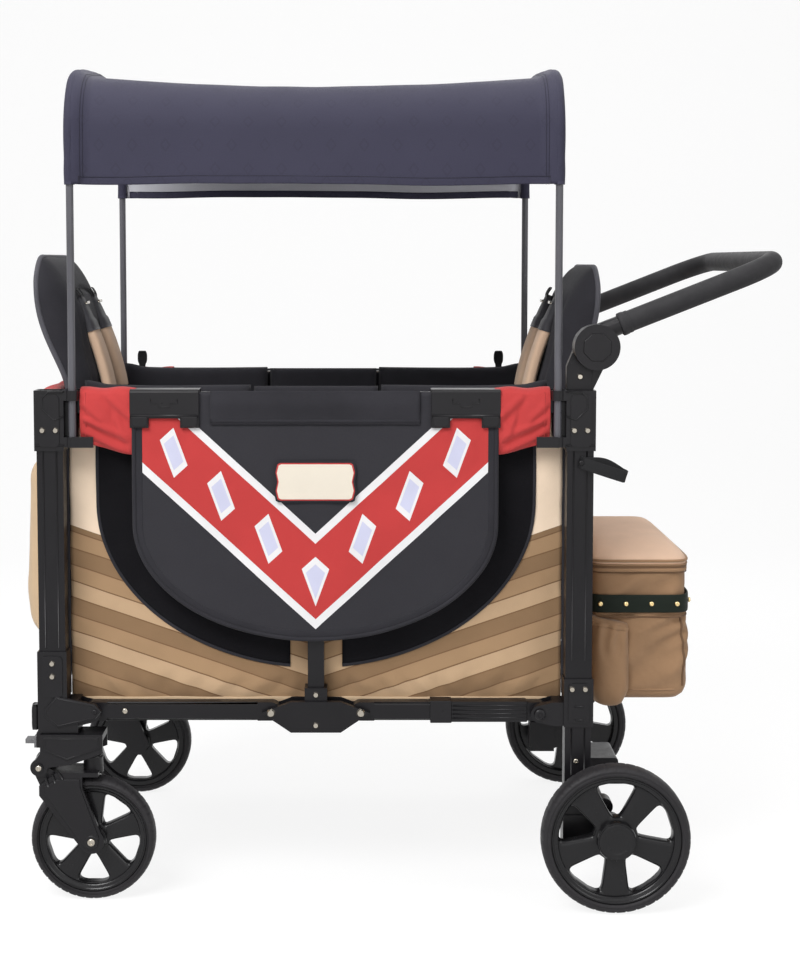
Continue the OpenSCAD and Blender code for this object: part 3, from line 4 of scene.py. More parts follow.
import bmesh
import bpy
import numpy as np
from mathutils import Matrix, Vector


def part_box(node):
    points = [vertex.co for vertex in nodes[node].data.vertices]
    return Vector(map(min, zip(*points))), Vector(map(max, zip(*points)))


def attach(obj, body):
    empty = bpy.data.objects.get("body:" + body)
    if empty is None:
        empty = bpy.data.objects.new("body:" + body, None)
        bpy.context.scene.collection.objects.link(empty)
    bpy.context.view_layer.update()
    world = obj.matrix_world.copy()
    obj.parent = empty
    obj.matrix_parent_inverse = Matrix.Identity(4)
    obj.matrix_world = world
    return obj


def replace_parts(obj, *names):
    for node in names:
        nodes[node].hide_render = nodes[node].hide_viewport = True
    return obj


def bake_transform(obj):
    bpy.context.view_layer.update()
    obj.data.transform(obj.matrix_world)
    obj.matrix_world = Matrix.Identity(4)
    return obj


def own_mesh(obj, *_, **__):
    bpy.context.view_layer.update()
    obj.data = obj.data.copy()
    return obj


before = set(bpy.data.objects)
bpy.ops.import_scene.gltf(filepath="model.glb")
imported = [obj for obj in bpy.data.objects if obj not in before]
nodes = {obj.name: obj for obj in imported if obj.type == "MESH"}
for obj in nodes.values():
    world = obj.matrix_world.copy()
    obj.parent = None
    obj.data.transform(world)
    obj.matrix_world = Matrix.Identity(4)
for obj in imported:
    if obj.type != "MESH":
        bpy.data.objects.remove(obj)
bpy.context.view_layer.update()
scene = bpy.context.scene
MM = 0.001
TAU = 2 * math.pi
MIDDLE = sum(c.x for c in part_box("centre_frame")) / 2


def wagon(points):
    """Points in mm about the wagon's middle, as metres in the part's frame."""
    moved = np.array(points, float) * MM
    moved[..., 0] += MIDDLE
    return moved


# Camera

FRAME_W, FRAME_H = 800, 978
FOCAL_PX = 1661.13
AXIS_PX = (366.23, 378.51)
PITCH = 4.0
SENSOR = 36.0
CAMERA_AT = (81.0, -2900.9, 1025.9)
CLIP_END = 60

camera = bpy.data.objects.new("camera", bpy.data.cameras.new("camera"))
scene.collection.objects.link(camera)
camera.location = wagon(CAMERA_AT)
camera.rotation_euler = (math.radians(90 - PITCH), 0, 0)
camera.data.sensor_width = SENSOR
camera.data.lens = FOCAL_PX * SENSOR / FRAME_H
camera.data.shift_x = (FRAME_W / 2 - AXIS_PX[0]) / FRAME_H
camera.data.shift_y = -(FRAME_H / 2 - AXIS_PX[1]) / FRAME_H
camera.data.clip_end = CLIP_END
scene.camera = camera
scene.view_settings.view_transform = "Standard"

# Materials


class Shader:
    """A material on one Principled shader, with short calls for its nodes."""

    def __init__(self, name):
        self.mat = bpy.data.materials.new(name)
        self.mat.use_nodes = True
        self.tree = self.mat.node_tree
        self.tree.nodes.clear()
        out = self.tree.nodes.new("ShaderNodeOutputMaterial")
        self.bsdf = self.tree.nodes.new("ShaderNodeBsdfPrincipled")
        self.tree.links.new(self.bsdf.outputs[0], out.inputs[0])

    def node(self, kind, out=0, **inputs):
        made = self.tree.nodes.new("ShaderNode" + kind)
        for key, value in inputs.items():
            self.put(made.inputs[key.replace("_", " ")], value)
        return made.outputs[out]

    def put(self, socket, value):
        if isinstance(value, bpy.types.NodeSocket):
            self.tree.links.new(value, socket)
        else:
            socket.default_value = value

    def math(self, op, *values):
        made = self.tree.nodes.new("ShaderNodeMath")
        made.operation = op
        for i, value in enumerate(values):
            self.put(made.inputs[i], value)
        return made.outputs[0]

    def mix(self, share, a, b, blend="MIX"):
        made = self.tree.nodes.new("ShaderNodeMixRGB")
        made.blend_type = blend
        for i, value in enumerate((share, a, b)):
            if i and isinstance(value, tuple) and len(value) == 3:
                value = (*value, 1)
            self.put(made.inputs[i], value)
        return made.outputs[0]

    def noise(self, at, scale, detail=2.0, rough=0.5):
        return self.node("TexNoise", Vector=at, Scale=scale, Detail=detail, Roughness=rough)

    def coords(self, kind):
        if kind == "uv":
            return self.node("UVMap")
        return self.node("TexCoord", out=3)

    def split(self, vector):
        made = self.tree.nodes.new("ShaderNodeSeparateXYZ")
        self.tree.links.new(vector, made.inputs[0])
        return made.outputs

    def bump(self, height, strength, distance, before=None):
        made = self.tree.nodes.new("ShaderNodeBump")
        made.inputs["Strength"].default_value = strength
        made.inputs["Distance"].default_value = distance
        self.tree.links.new(height, made.inputs["Height"])
        if before is not None:
            self.tree.links.new(before, made.inputs["Normal"])
        return made.outputs[0]

    def ramp(self, value, low, high):
        """value from 0.3..0.7 spread over low..high"""
        made = self.tree.nodes.new("ShaderNodeMapRange")
        for i, x in enumerate((value, 0.3, 0.7, low, high)):
            self.put(made.inputs[i], x)
        return made.outputs[0]

    def finish(self, color, rough, normal=None, **fixed):
        self.put(self.bsdf.inputs["Base Color"], (*color, 1) if isinstance(color, tuple) else color)
        self.put(self.bsdf.inputs["Roughness"], rough)
        if normal is not None:
            self.put(self.bsdf.inputs["Normal"], normal)
        for key, value in fixed.items():
            self.put(self.bsdf.inputs[key.replace("_", " ")], value)
        return self.mat


def shade(color, k):
    return tuple(min(1.0, c * k) for c in color)


def cloth(name, color, pitch=1.7, rough=0.86, vary=0.10, soft=0.5, coords="uv", sheen=0.15, paint=None,
          spec=0.2):
    """Woven cloth: crossed threads, slow colour changes and soft creases. paint draws a print over it."""
    s = Shader(name)
    at = s.coords(coords)
    u, v, w = s.split(at)
    if coords == "object":
        u = s.math("ADD", u, w)
    turn = TAU / (pitch * MM)
    warp, weft = (s.math("SINE", s.math("MULTIPLY", c, turn)) for c in (u, v))
    weave = s.math("MULTIPLY", warp, weft)
    slow = s.noise(at, 7.0, 4.0, 0.6)
    fine = s.noise(at, 420.0, 2.0)
    base = paint(s, u, v) if paint else (*color, 1)
    toned = s.mix(1.0, base, s.ramp(slow, 1 - vary, 1 + 0.6 * vary), "MULTIPLY")
    toned = s.mix(s.math("MULTIPLY_ADD", weave, 0.06, 0.07), toned, (0, 0, 0))
    normal = s.bump(s.math("MULTIPLY_ADD", weave, 0.5, fine), 0.35, 0.0005)
    normal = s.bump(s.noise(at, 16.0, 3.0), soft, 0.006, normal)
    return s.finish(toned, s.ramp(fine, rough - 0.06, min(1, rough + 0.06)), normal, Sheen_Weight=sheen,
                    Sheen_Roughness=0.5, Specular_IOR_Level=spec)


def hard(name, color, rough, grain=900.0, depth=0.00025, vary=0.12, coat=0.0, metal=0.0, scuff=0.25,
         spec=0.5):
    """Paint, plastic or metal: a fine grain, slow tone changes and light scuffs."""
    s = Shader(name)
    at = s.coords("object")
    slow = s.noise(at, 9.0, 3.0)
    fine = s.noise(at, grain, 2.0)
    worn = s.noise(at, 60.0, 6.0, 0.7)
    toned = s.mix(s.ramp(slow, 0.0, 1.0), shade(color, 1 - vary), shade(color, 1 + vary))
    mark = s.math("MULTIPLY", s.math("GREATER_THAN", worn, 0.66), scuff)
    toned = s.mix(mark, toned, shade(color, 1.8))
    normal = s.bump(fine, 0.3, depth)
    return s.finish(toned, s.ramp(worn, max(0.04, rough - 0.08), rough + 0.08), normal, Metallic=metal,
                    Coat_Weight=coat, Coat_Roughness=0.25, Specular_IOR_Level=spec)


BEIGE = (0.3937, 0.25, 0.1375)
TAN = (0.2687, 0.1638, 0.08625)
PALE = (0.93, 0.74, 0.56)
STRAW = (0.5375, 0.3687, 0.225)
BROWN = (0.2, 0.11, 0.055)
RED = (0.5125, 0.04625, 0.045)
WHITE = (0.80, 0.79, 0.80)
LILAC = (0.60, 0.61, 0.78)
CANOPY = (0.034, 0.0325, 0.057)
BLACK = (0.02812, 0.02725, 0.03275)


def inside(s, value, low, high):
    return s.math("MULTIPLY", s.math("GREATER_THAN", value, low), s.math("LESS_THAN", value, high))


def flap_print(s, u, v):
    """A V-shaped band of red, edged in white, with a row of lilac diamonds."""
    side = s.math("ABSOLUTE", u)
    rise = s.math("SUBTRACT", v, s.math("MULTIPLY_ADD", side, 0.92, 0.452))
    color = s.mix(inside(s, rise, -0.012, 0.142), BLACK, WHITE)
    color = s.mix(inside(s, rise, 0.004, 0.126), color, RED)
    along = s.math("FRACT", s.math("DIVIDE", s.math("ADD", side, 0.0375), 0.075))
    off = s.math("MULTIPLY", s.math("ABSOLUTE", s.math("SUBTRACT", along, 0.5)), 0.075)
    lift = s.math("ABSOLUTE", s.math("SUBTRACT", rise, 0.065))
    reach = s.math("ADD", s.math("DIVIDE", off, 0.022), s.math("DIVIDE", lift, 0.040))
    color = s.mix(s.math("LESS_THAN", reach, 1.0), color, WHITE)
    return s.mix(s.math("LESS_THAN", reach, 0.70), color, LILAC)


def canopy_print(s, u, v):
    """Faint tonal diamonds in staggered rows."""
    row = s.math("DIVIDE", v, 0.038)
    shift = s.math("MULTIPLY", s.math("FLOORED_MODULO", s.math("FLOOR", row), 2.0), 0.5)
    across = s.math("FRACT", s.math("ADD", s.math("DIVIDE", u, 0.052), shift))
    off = s.math("ABSOLUTE", s.math("SUBTRACT", across, 0.5))
    lift = s.math("ABSOLUTE", s.math("SUBTRACT", s.math("FRACT", row), 0.5))
    reach = s.math("ADD", s.math("DIVIDE", off, 0.17), s.math("DIVIDE", lift, 0.30))
    ring = inside(s, reach, 0.62, 1.0)
    return s.mix(s.math("MULTIPLY", ring, 0.5), CANOPY, shade(CANOPY, 0.80))


def panel_print(s, u, v):
    """Straight slanting stripes in beige tones with thin brown lines, under a plain top."""
    side = s.math("ABSOLUTE", u)
    slant = s.math("ADD", v, s.math("MULTIPLY", side, -0.34))
    step = s.math("DIVIDE", slant, 0.027)
    count = s.math("FLOOR", step)
    tone = s.math("FRACT", s.math("MULTIPLY", count, 0.381))
    color = s.mix(s.math("GREATER_THAN", tone, 0.38), BEIGE, TAN)
    color = s.mix(s.math("GREATER_THAN", tone, 0.72), color, STRAW)
    plain = s.math("LESS_THAN", s.math("ABSOLUTE", s.math("SUBTRACT", s.math("FRACT", step), 0.5)), 0.46)
    color = s.mix(plain, BROWN, color)
    low = s.math("LESS_THAN", slant, 0.468)
    return s.mix(low, PALE, color)


M = {
    "paint": hard("frame_paint", (0.00725, 0.006625, 0.008), 0.36, 1400.0, 0.00010, 0.15, spec=0.24),
    "pole": hard("pole_paint", (0.0775, 0.07625, 0.0875), 0.34, 1400.0, 0.00012, 0.15, coat=0.1, spec=0.4),
    "plastic": hard("black_plastic", (0.00725, 0.006625, 0.008), 0.34, 800.0, 0.00012, 0.12, spec=0.27),
    "gloss": hard("gloss_plastic", (0.01, 0.00975, 0.01075), 0.22, 500.0, 0.00006, 0.10, coat=0.05,
                  scuff=0.05, spec=0.23),
    "grey": hard("grey_plastic", (0.1375, 0.1375, 0.1438), 0.5, 800.0, 0.0002, 0.1),
    "nickel": hard("nickel", (0.42, 0.385, 0.33), 0.20, 600.0, 0.00005, 0.1, metal=1.0, scuff=0.1),
    "steel": hard("steel", (0.55, 0.55, 0.56), 0.3, 600.0, 0.00005, 0.1, metal=1.0, scuff=0.1),
    "gold": hard("stud_gold", (0.74, 0.58, 0.30), 0.26, 600.0, 0.00005, 0.1, metal=1.0, scuff=0.1),
    "rubber": hard("tyre_rubber", (0.01875, 0.0175, 0.01937), 0.58, 500.0, 0.0003, 0.2, spec=0.26),
    "foam": hard("grip_foam", (0.01875, 0.01813, 0.02), 0.72, 650.0, 0.0006, 0.15, scuff=0.05, spec=0.3),
    "canopy": cloth("canopy_cloth", CANOPY, 1.6, 0.72, 0.05, 0.16, sheen=0.08, paint=canopy_print),
    "lining": cloth("canopy_lining", (0.5, 0.5, 0.5375), 1.4, 0.7, 0.05, 0.15, sheen=0.05),
    "canopy_seam": cloth("canopy_seam", shade(CANOPY, 0.55), 1.2, 0.75, 0.1, 0.15, sheen=0.05),
    "beige": cloth("beige_cloth", BEIGE, 1.6, 0.85, 0.08, 0.55),
    "pocket": cloth("pocket_cloth", (0.625, 0.4562, 0.2937), 1.6, 0.85, 0.08, 0.55),
    "panel": cloth("panel_cloth", BEIGE, 1.6, 0.85, 0.08, 0.55, paint=panel_print),
    "pad": cloth("pad_cloth", (0.75, 0.525, 0.3687), 1.4, 0.88, 0.08, 0.3),
    "red": cloth("red_cloth", RED, 1.6, 0.8, 0.08, 0.5),
    "black": cloth("black_cloth", BLACK, 1.8, 0.85, 0.2, 0.4, sheen=0.05, spec=0.15),
    "piping": cloth("piping_cloth", (0.085, 0.08375, 0.0975), 1.2, 0.7, 0.15, 0.3, sheen=0.05, spec=0.25),
    "trim_black": cloth("trim_black", BLACK, 1.2, 0.6, 0.2, 0.4, sheen=0.03, spec=0.3),
    "flap": cloth("flap_cloth", BLACK, 1.8, 0.82, 0.06, 0.35, paint=flap_print, sheen=0.06),
    "mesh": cloth("mesh_cloth", (0.008125, 0.00775, 0.009375), 3.2, 0.8, 0.2, 0.2, sheen=0.0, spec=0.07),
    "webbing": cloth("webbing", (0.015, 0.015, 0.01625), 2.2, 0.8, 0.1, 0.1, sheen=0.04, spec=0.2),
    "board": cloth("board_cover", (0.0175, 0.0175, 0.01875), 2.0, 0.85, 0.15, 0.3, coords="object",
                   sheen=0.04),
    "bag": cloth("bag_cloth", (0.3438, 0.205, 0.1125), 1.8, 0.8, 0.14, 0.8),
    "bag_seam": cloth("bag_seam", (0.1688, 0.095, 0.05), 1.2, 0.8, 0.1, 0.2),
    "lid": cloth("lid_cloth", (0.85, 0.5938, 0.4312), 1.8, 0.8, 0.08, 0.45),
    "trim": cloth("bag_trim", (0.01063, 0.01562, 0.01125), 1.4, 0.6, 0.1, 0.2, sheen=0.02, spec=0.14),
    "cream": cloth("label_cloth", (0.80, 0.73, 0.62), 1.0, 0.8, 0.04, 0.1),
}
SLOT_FINISHES = {
    "frame_metal": ["paint"],
    "black_plastic": ["plastic", "gloss"],
    "bolt_steel": ["nickel", "gold"],
    "spring_steel": ["steel"],
    "tyre_rubber": ["rubber"],
    "grip_foam": ["foam"],
    "board": ["board"],
    "canopy_cloth": ["canopy", "canopy_seam"],
    "beige_cloth": ["beige", "pocket", "panel", "pad", "red"],
    "black_cloth": ["black", "piping", "trim_black", "flap", "mesh", "webbing", "cream"],
    "bag_cloth": ["bag", "bag_seam", "lid", "trim"],
}
SLOTS = {finish: slot for slot, finishes in SLOT_FINISHES.items() for finish in finishes}
LABEL_SLOT = "black_cloth"

# Mesh helpers

WELD = 0.00002
NODE_WELD = 0.00001
NODE_SHARP = math.radians(35)
RIM_SHARP = math.radians(38)
DOME_SHARP = math.radians(45)


def grid(*axes):
    return np.meshgrid(*axes, indexing="ij")


def line(x, y, z):
    """Points from three coordinates, each an array or one value for all."""
    return np.stack(np.broadcast_arrays(x, y, z), -1)


def flat_uv(u, v):
    return MM * np.stack([u, v], -1)


def box_uv(mesh):
    """Flat UVs in metres, along each face's own plane."""
    layer = mesh.uv_layers.new(name="UVMap")
    for face in mesh.polygons:
        n = [abs(c) for c in face.normal]
        a, b = {0: (1, 2), 1: (0, 2), 2: (0, 1)}[n.index(max(n))]
        for i in face.loop_indices:
            co = mesh.vertices[mesh.loops[i].vertex_index].co
            layer.data[i].uv = (co[a], co[b])


def make(name, verts, faces, mat, body=None, uv=None, flip=(1, 1), smooth=True, slot=None, weld=False):
    """A mesh piece from points in mm about the wagon's middle, in one or more finishes.

    flip mirrors it front to rear and side to side. slot is not used.
    """
    points = np.array(verts, float).reshape(-1, 3) * (flip[0], flip[1], 1)
    if flip[0] * flip[1] < 0:
        faces = [f[::-1] for f in faces]
    mesh = bpy.data.meshes.new(name)
    mesh.from_pydata(wagon(points).tolist(), [], [tuple(int(i) for i in f) for f in faces])
    obj = bpy.data.objects.new(name, mesh)
    scene.collection.objects.link(obj)
    finishes = mat if isinstance(mat, list) else [mat]
    for finish in finishes:
        mesh.materials.append(M[finish])
    if uv is None:
        box_uv(mesh)
    else:
        layer = mesh.uv_layers.new(name="UVMap")
        flat = np.array(uv, float).reshape(-1, 2)
        which = np.zeros(len(mesh.loops), int)
        mesh.loops.foreach_get("vertex_index", which)
        layer.data.foreach_set("uv", flat[which].astype(np.float32).ravel())
    if weld:
        bm = bmesh.new()
        bm.from_mesh(mesh)
        bmesh.ops.remove_doubles(bm, verts=bm.verts, dist=WELD)
        bmesh.ops.recalc_face_normals(bm, faces=bm.faces)
        bm.to_mesh(mesh)
        bm.free()
    if smooth:
        mesh.shade_smooth()
    if body:
        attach(obj, body)
    slot or SLOTS[finishes[0]]
    return obj


def quads(nu, nv, wrap_u=False, wrap_v=False):
    out = []
    for i in range(nu if wrap_u else nu - 1):
        for j in range(nv if wrap_v else nv - 1):
            k, m = (i + 1) % nu, (j + 1) % nv
            out.append((i * nv + j, k * nv + j, k * nv + m, i * nv + m))
    return out


def thicken(obj, mm, offset=0.0, inner=0):
    mod = obj.modifiers.new("thickness", "SOLIDIFY")
    mod.thickness = mm * MM
    mod.offset = offset
    mod.material_offset = inner
    return obj


def circle(r, n=12):
    a = np.arange(n) * TAU / n
    return np.stack([r * np.cos(a), r * np.sin(a)], 1)


def rounded(c, power):
    """A cosine or sine drawn out towards a rounded square's."""
    return np.sign(c) * np.abs(c) ** (2 / power)


def flat_section(w, t, n=20, power=5.0):
    a = np.arange(n) * TAU / n
    return np.stack([rounded(np.cos(a), power) * w / 2, rounded(np.sin(a), power) * t / 2], 1)


def sweep(name, path, section, up, mat, body=None, closed=False, scale=None, **more):
    """A section carried along a path. Its first axis lies across the path and up, its second along up."""
    p = np.array(path, float)
    ahead = np.roll(p, -1, 0) - np.roll(p, 1, 0)
    if not closed:
        ahead[0], ahead[-1] = p[1] - p[0], p[-1] - p[-2]
    ahead /= np.linalg.norm(ahead, axis=1)[:, None]
    up = np.array(up, float)
    side = np.cross(ahead, np.broadcast_to(up, p.shape))
    side /= np.linalg.norm(side, axis=1)[:, None]
    over = np.cross(side, ahead)
    k = np.ones(len(p)) if scale is None else np.array(scale, float)
    sec = np.array(section, float)
    spread = side[:, None] * sec[None, :, :1] + over[:, None] * sec[None, :, 1:]
    verts = p[:, None] + k[:, None, None] * spread
    n = len(sec)
    faces = quads(len(p), n, closed, True)
    if not closed:
        faces += [tuple(range(n - 1, -1, -1)), tuple((len(p) - 1) * n + i for i in range(n))]
    run = np.concatenate([[0], np.cumsum(np.linalg.norm(np.diff(p, axis=0), axis=1))])
    round_ = np.concatenate([[0], np.cumsum(np.linalg.norm(np.diff(sec, axis=0), axis=1))])
    uv = np.stack(grid(run * MM, round_ * MM), -1)
    return make(name, verts, faces, mat, body, uv=uv, **more)


def pillow(name, front, back, mat, body=None, uv=None, **more):
    """A closed pad from two grids of points that share their border."""
    nu, nv = front.shape[:2]
    verts = np.concatenate([front.reshape(-1, 3), back.reshape(-1, 3)])
    faces = quads(nu, nv)
    faces = faces + [tuple(i + nu * nv for i in f[::-1]) for f in faces]
    if uv is None:
        run_u = np.linalg.norm(np.diff(front, axis=0), axis=2).mean(1).cumsum()
        run_v = np.linalg.norm(np.diff(front, axis=1), axis=2).mean(0).cumsum()
        uv = np.stack(grid(np.r_[0, run_u] * MM, np.r_[0, run_v] * MM), -1)
    uv = np.concatenate([uv.reshape(-1, 2), uv.reshape(-1, 2)])
    return make(name, verts, faces, mat, body, uv=uv, weld=True, **more)


def smooth_step(t):
    t = np.clip(t, 0, 1)
    return t * t * (3 - 2 * t)


def ripple(a, b, seed, scale=1.0):
    """A soft, repeatable unevenness over two coordinates in mm."""
    total = 0
    for k in range(1, 5):
        total = total + np.sin(a * 0.011 * k + seed * 1.7 * k + 1.3 * np.sin(b * 0.009 * k + seed)) \
            * np.cos(b * 0.013 * k - seed * 0.9 * k) / k
    return total * scale


SIDES = {"left": -1, "right": 1}
ENDS = {"front": -1, "rear": 1}

# Frame nodes: finishes and softened edges

PAINTED = ["front_frame_tubes", "rear_frame_tubes", "lower_front_rails", "lower_rear_rails",
           "upper_front_rails", "upper_rear_rails", "handle_bar", "front_canopy_hoop", "rear_canopy_hoop",
           "centre_frame"]
MOULDED = ["front_brackets", "rear_brackets", "axle_carriers", "handle_sockets", "handle_hubs",
           "rear_rail_sleeves", "front_rail_clips", "rear_rail_clips", "brake_pedal", "caster_yoke_left",
           "caster_yoke_right", "fork_left", "fork_right", "handle_button_left", "handle_button_right"]


def finish_node(name, mat, bevel=0.0, segments=2):
    obj = nodes[name]
    obj.data.materials.clear()
    obj.data.materials.append(M[mat])
    if bevel:
        join = obj.modifiers.new("join", "WELD")
        join.merge_threshold = NODE_WELD
        edge = obj.modifiers.new("edge", "BEVEL")
        edge.width = bevel * MM
        edge.segments = segments
        edge.limit_method = "ANGLE"
        edge.angle_limit = NODE_SHARP
        edge.use_clamp_overlap = True
        edge.harden_normals = False
        level = obj.modifiers.new("level", "WEIGHTED_NORMAL")
        level.keep_sharp = False
    return obj


for name in PAINTED:
    hoop = "hoop" in name
    finish_node(name, "pole" if hoop else "paint", 0.0 if hoop or name == "handle_bar" else 1.2)
for name in MOULDED:
    finish_node(name, "plastic", 3.5 if name == "handle_hubs" else 1.0, 3)
for name in ("front_bolts", "rear_bolts", "centre_bolts"):
    finish_node(name, "nickel", 0.5)
for name in ("swivel_lock_left", "swivel_lock_right"):
    finish_node(name, "grey", 0.8)
finish_node("rear_axle", "steel", 0.4)
finish_node("handle_grip", "foam")
for name in ("front_floor_board", "rear_floor_board"):
    finish_node(name, "board", 1.5)

# Wheels: tyres with fine cuts, five-spoke rims

SPOKES = 5
NOTCH = 1.3
FRONT_X, FRONT_Y = -359.0, 271.0
WHEELS = {
    "rear": {"at": (475.0, 330.0, 118.0), "tyre": (118.0, 40.0, 15.0), "rim": (103.0, 17.0, 31.0, 22.8),
             "phase": -math.pi / 2},
    "front": {"at": (FRONT_X, FRONT_Y, 100.0), "tyre": (100.0, 36.0, 13.0),
              "rim": (87.0, 15.0, 22.0, 17.8), "phase": math.pi / 2},
}


def tyre(end, side, radius, width, depth, centre):
    """A tyre with rounded shoulders, fine cuts across the tread and ridges round its walls."""
    blocks, per = 44, 8
    n = blocks * per
    half = width / 2
    wall = np.array([[depth - 0.1, 1.0], [depth - 3, 0.2], [10.5, 0.0], [9.6, 0.7], [8.4, 0.7], [7.5, 0.1],
                     [5.4, 0.9], [3.4, 2.6], [1.8, 5.0], [0.7, 8.0], [0.1, 12.0]])
    cut_wall = np.array([0, 0, 0, 0, 0, 0, 0.3, 1, 1, 1, 0.2])
    profile = np.concatenate([np.stack([radius - wall[:, 0], -half + wall[:, 1]], 1),
                              np.stack([radius - wall[::-1, 0], half - wall[::-1, 1]], 1)])
    cut = np.concatenate([cut_wall, cut_wall[::-1]])
    a = np.arange(n) * TAU / n
    notch = np.where(np.arange(n) % per == 0, 1.0, 0.0)
    r = profile[None, :, 0] - NOTCH * cut[None] * notch[:, None]
    verts = line(centre[0] + r * np.cos(a)[:, None], centre[1] + profile[None, :, 1],
                 centre[2] + r * np.sin(a)[:, None])
    uv = np.stack(np.broadcast_arrays(a[:, None] * radius * MM, np.arange(len(profile))[None] * 0.005), -1)
    obj = make(f"tread_{end}_{side}", verts, quads(n, len(profile), True, True), "rubber",
               f"{end}_wheel_{side}", uv=uv)
    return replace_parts(obj, f"{end}_tyre_{side}")


def rim(end, side, radius, half, hub, cap, centre, phase):
    """Five crowned spokes between rounded windows, a stepped ring and a hub with a dished cap."""
    cx, cy, cz = centre
    out = 1 if cy > 0 else -1
    ring_in = radius - 12
    verts, faces = [], []

    def add(points, wrap_u, wrap_v):
        nu, nv = points.shape[:2]
        shift = sum(len(v) for v in verts)
        verts.append(points.reshape(-1, 3))
        faces.extend(tuple(i + shift for i in f) for f in quads(nu, nv, wrap_u, wrap_v))

    def at(r, a, y):
        return line(cx + r * np.cos(a), cy + out * y, cz + r * np.sin(a))

    n = 64
    t = (np.arange(n) + 0.5) * TAU / n
    u = np.sign(np.cos(t)) * np.abs(np.cos(t)) ** 0.3
    v = np.sign(np.sin(t)) * np.abs(np.sin(t)) ** 0.3
    reach = np.maximum(np.abs(u), np.abs(v))
    low, high = hub + 5.0, ring_in - 1.0
    hole_r = (low + high) / 2 + v * (high - low) / 2
    spoke = radius * (0.152 + 0.066 * (hole_r - low) / (high - low))
    hole_a = u * (math.pi / SPOKES - spoke / hole_r)
    cell_r = (hub - 3 + ring_in + 3) / 2 + v / reach * (ring_in - hub + 6) / 2
    cell_a = u / reach * math.pi / SPOKES
    face_y, back_y = half * 0.55, half * 0.55 - 17
    for k in range(SPOKES):
        middle = phase + (k + 0.5) * TAU / SPOKES
        levels = [(s, face_y - (1.2 * (1 - s) ** 2 + 3.4 * max(0.0, 1 - s / 0.24) ** 2))
                  for s in (1.0, 0.72, 0.45, 0.24, 0.1, 0.03, 0.0)]
        levels += [(s, back_y) for s in (0.0, 0.3, 1.0)]
        loops = []
        for s, y in levels:
            loops.append(at(hole_r + (cell_r - hole_r) * s, middle + hole_a + (cell_a - hole_a) * s, y))
        add(np.stack(loops), False, True)
    ring = [(radius - 0.1, -half + 1), (radius - 0.1, half - 1), (radius - 1.5, half),
            (radius - 3.4, half), (radius - 4.6, half - 1.6), (radius - 6.8, half - 2.4),
            (radius - 8.6, half - 3.0), (ring_in + 1.2, half - 4.2), (ring_in, half - 6.5),
            (ring_in, -half + 5), (ring_in + 3, -half + 1), (radius - 3, -half)]
    boss = [(0.05, cap - 1.0), (hub * 0.55, cap - 1.0), (hub * 0.62, cap - 0.4), (hub * 0.66, cap),
            (hub * 0.84, cap), (hub * 0.9, cap - 0.6), (hub * 0.92, cap - 2.0), (hub * 0.97, cap - 2.2),
            (hub, cap - 4.0), (hub, 3 - cap), (hub - 3, -cap), (0.05, -cap)]
    a = np.arange(120) * TAU / 120
    for profile, closed in ((ring, True), (boss, False)):
        p = np.array(profile)
        add(at(p[None, :, 0], a[:, None], p[None, :, 1]), True, closed)
    obj = make(f"rim_{end}_{side}", np.concatenate(verts), faces, "gloss", f"{end}_wheel_{side}", weld=True)
    obj.data.set_sharp_from_angle(angle=RIM_SHARP)
    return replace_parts(obj, f"{end}_rim_{side}")


for side, sign in SIDES.items():
    for end, wheel in WHEELS.items():
        tyre(end, side, *wheel["tyre"], np.array(wheel["at"]) * (1, sign, 1))
    for end, wheel in WHEELS.items():
        rim(end, side, *wheel["rim"], np.array(wheel["at"]) * (1, sign, 1), wheel["phase"])

# Front springs

SPRING_R, SPRING_WIRE, SPRING_LOW, SPRING_LONG, SPRING_TURNS = 9.2, 1.3, 214, 47, 4.5
SPRING_ANCHOR, SPRING_KEEP, CUP_R = 262, 0.8, 16.5
CUP_Z = [205.0, 207.0, 211.0, 229.0, 231.0, 234.0, 235.0]
CUP_SCALE = [0.88, 1.0, 1.0, 0.94, 1.0, 1.0, 0.9]

for side, sign in SIDES.items():
    t = np.linspace(0, 1, int(SPRING_TURNS * 20) + 1)
    turn = t * SPRING_TURNS * TAU
    path = line(FRONT_X + SPRING_R * np.cos(turn), FRONT_Y * sign + SPRING_R * np.sin(turn),
                SPRING_LOW + SPRING_LONG * t)
    coil = sweep(f"spring_{side}", path, circle(SPRING_WIRE, 8), (0, 0, 1), "steel", f"caster_{side}")
    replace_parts(coil, f"front_spring_{side}")
    wagon((FRONT_X, FRONT_Y * sign, SPRING_ANCHOR)).tolist()
    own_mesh(coil)
    cup = line(FRONT_X, FRONT_Y * sign, CUP_Z)
    sweep(f"spring_cup_{side}", cup, circle(CUP_R, 28), (1, 0, 0), "plastic", f"fork_{side}",
          scale=CUP_SCALE)

# Canopy

POLE_X, POLE_Y, CORNER_R, TOP_Z, RISE, DROP = 384.0, 283.5, 92.0, 1340.0, 106.0, 86.0
BEND_Z = TOP_Z - RISE
ARCH_SIDE = POLE_Y - CORNER_R
CROWN_R = (ARCH_SIDE ** 2 + RISE ** 2 - CORNER_R ** 2) / (2 * (RISE - CORNER_R))
CROWN_Z = TOP_Z - CROWN_R
CROWN_TURN = math.atan2(ARCH_SIDE, BEND_Z - CROWN_Z)
CROWN_LEN = CROWN_R * CROWN_TURN
CORNER_LEN = CORNER_R * (math.pi / 2 - CROWN_TURN)
HALF_ARC = CROWN_LEN + CORNER_LEN + DROP
POCKET_R = 8.6
CANOPY_KEEP, PANEL_KEEP, FLAP_KEEP = 0.408, 0.422, 0.20


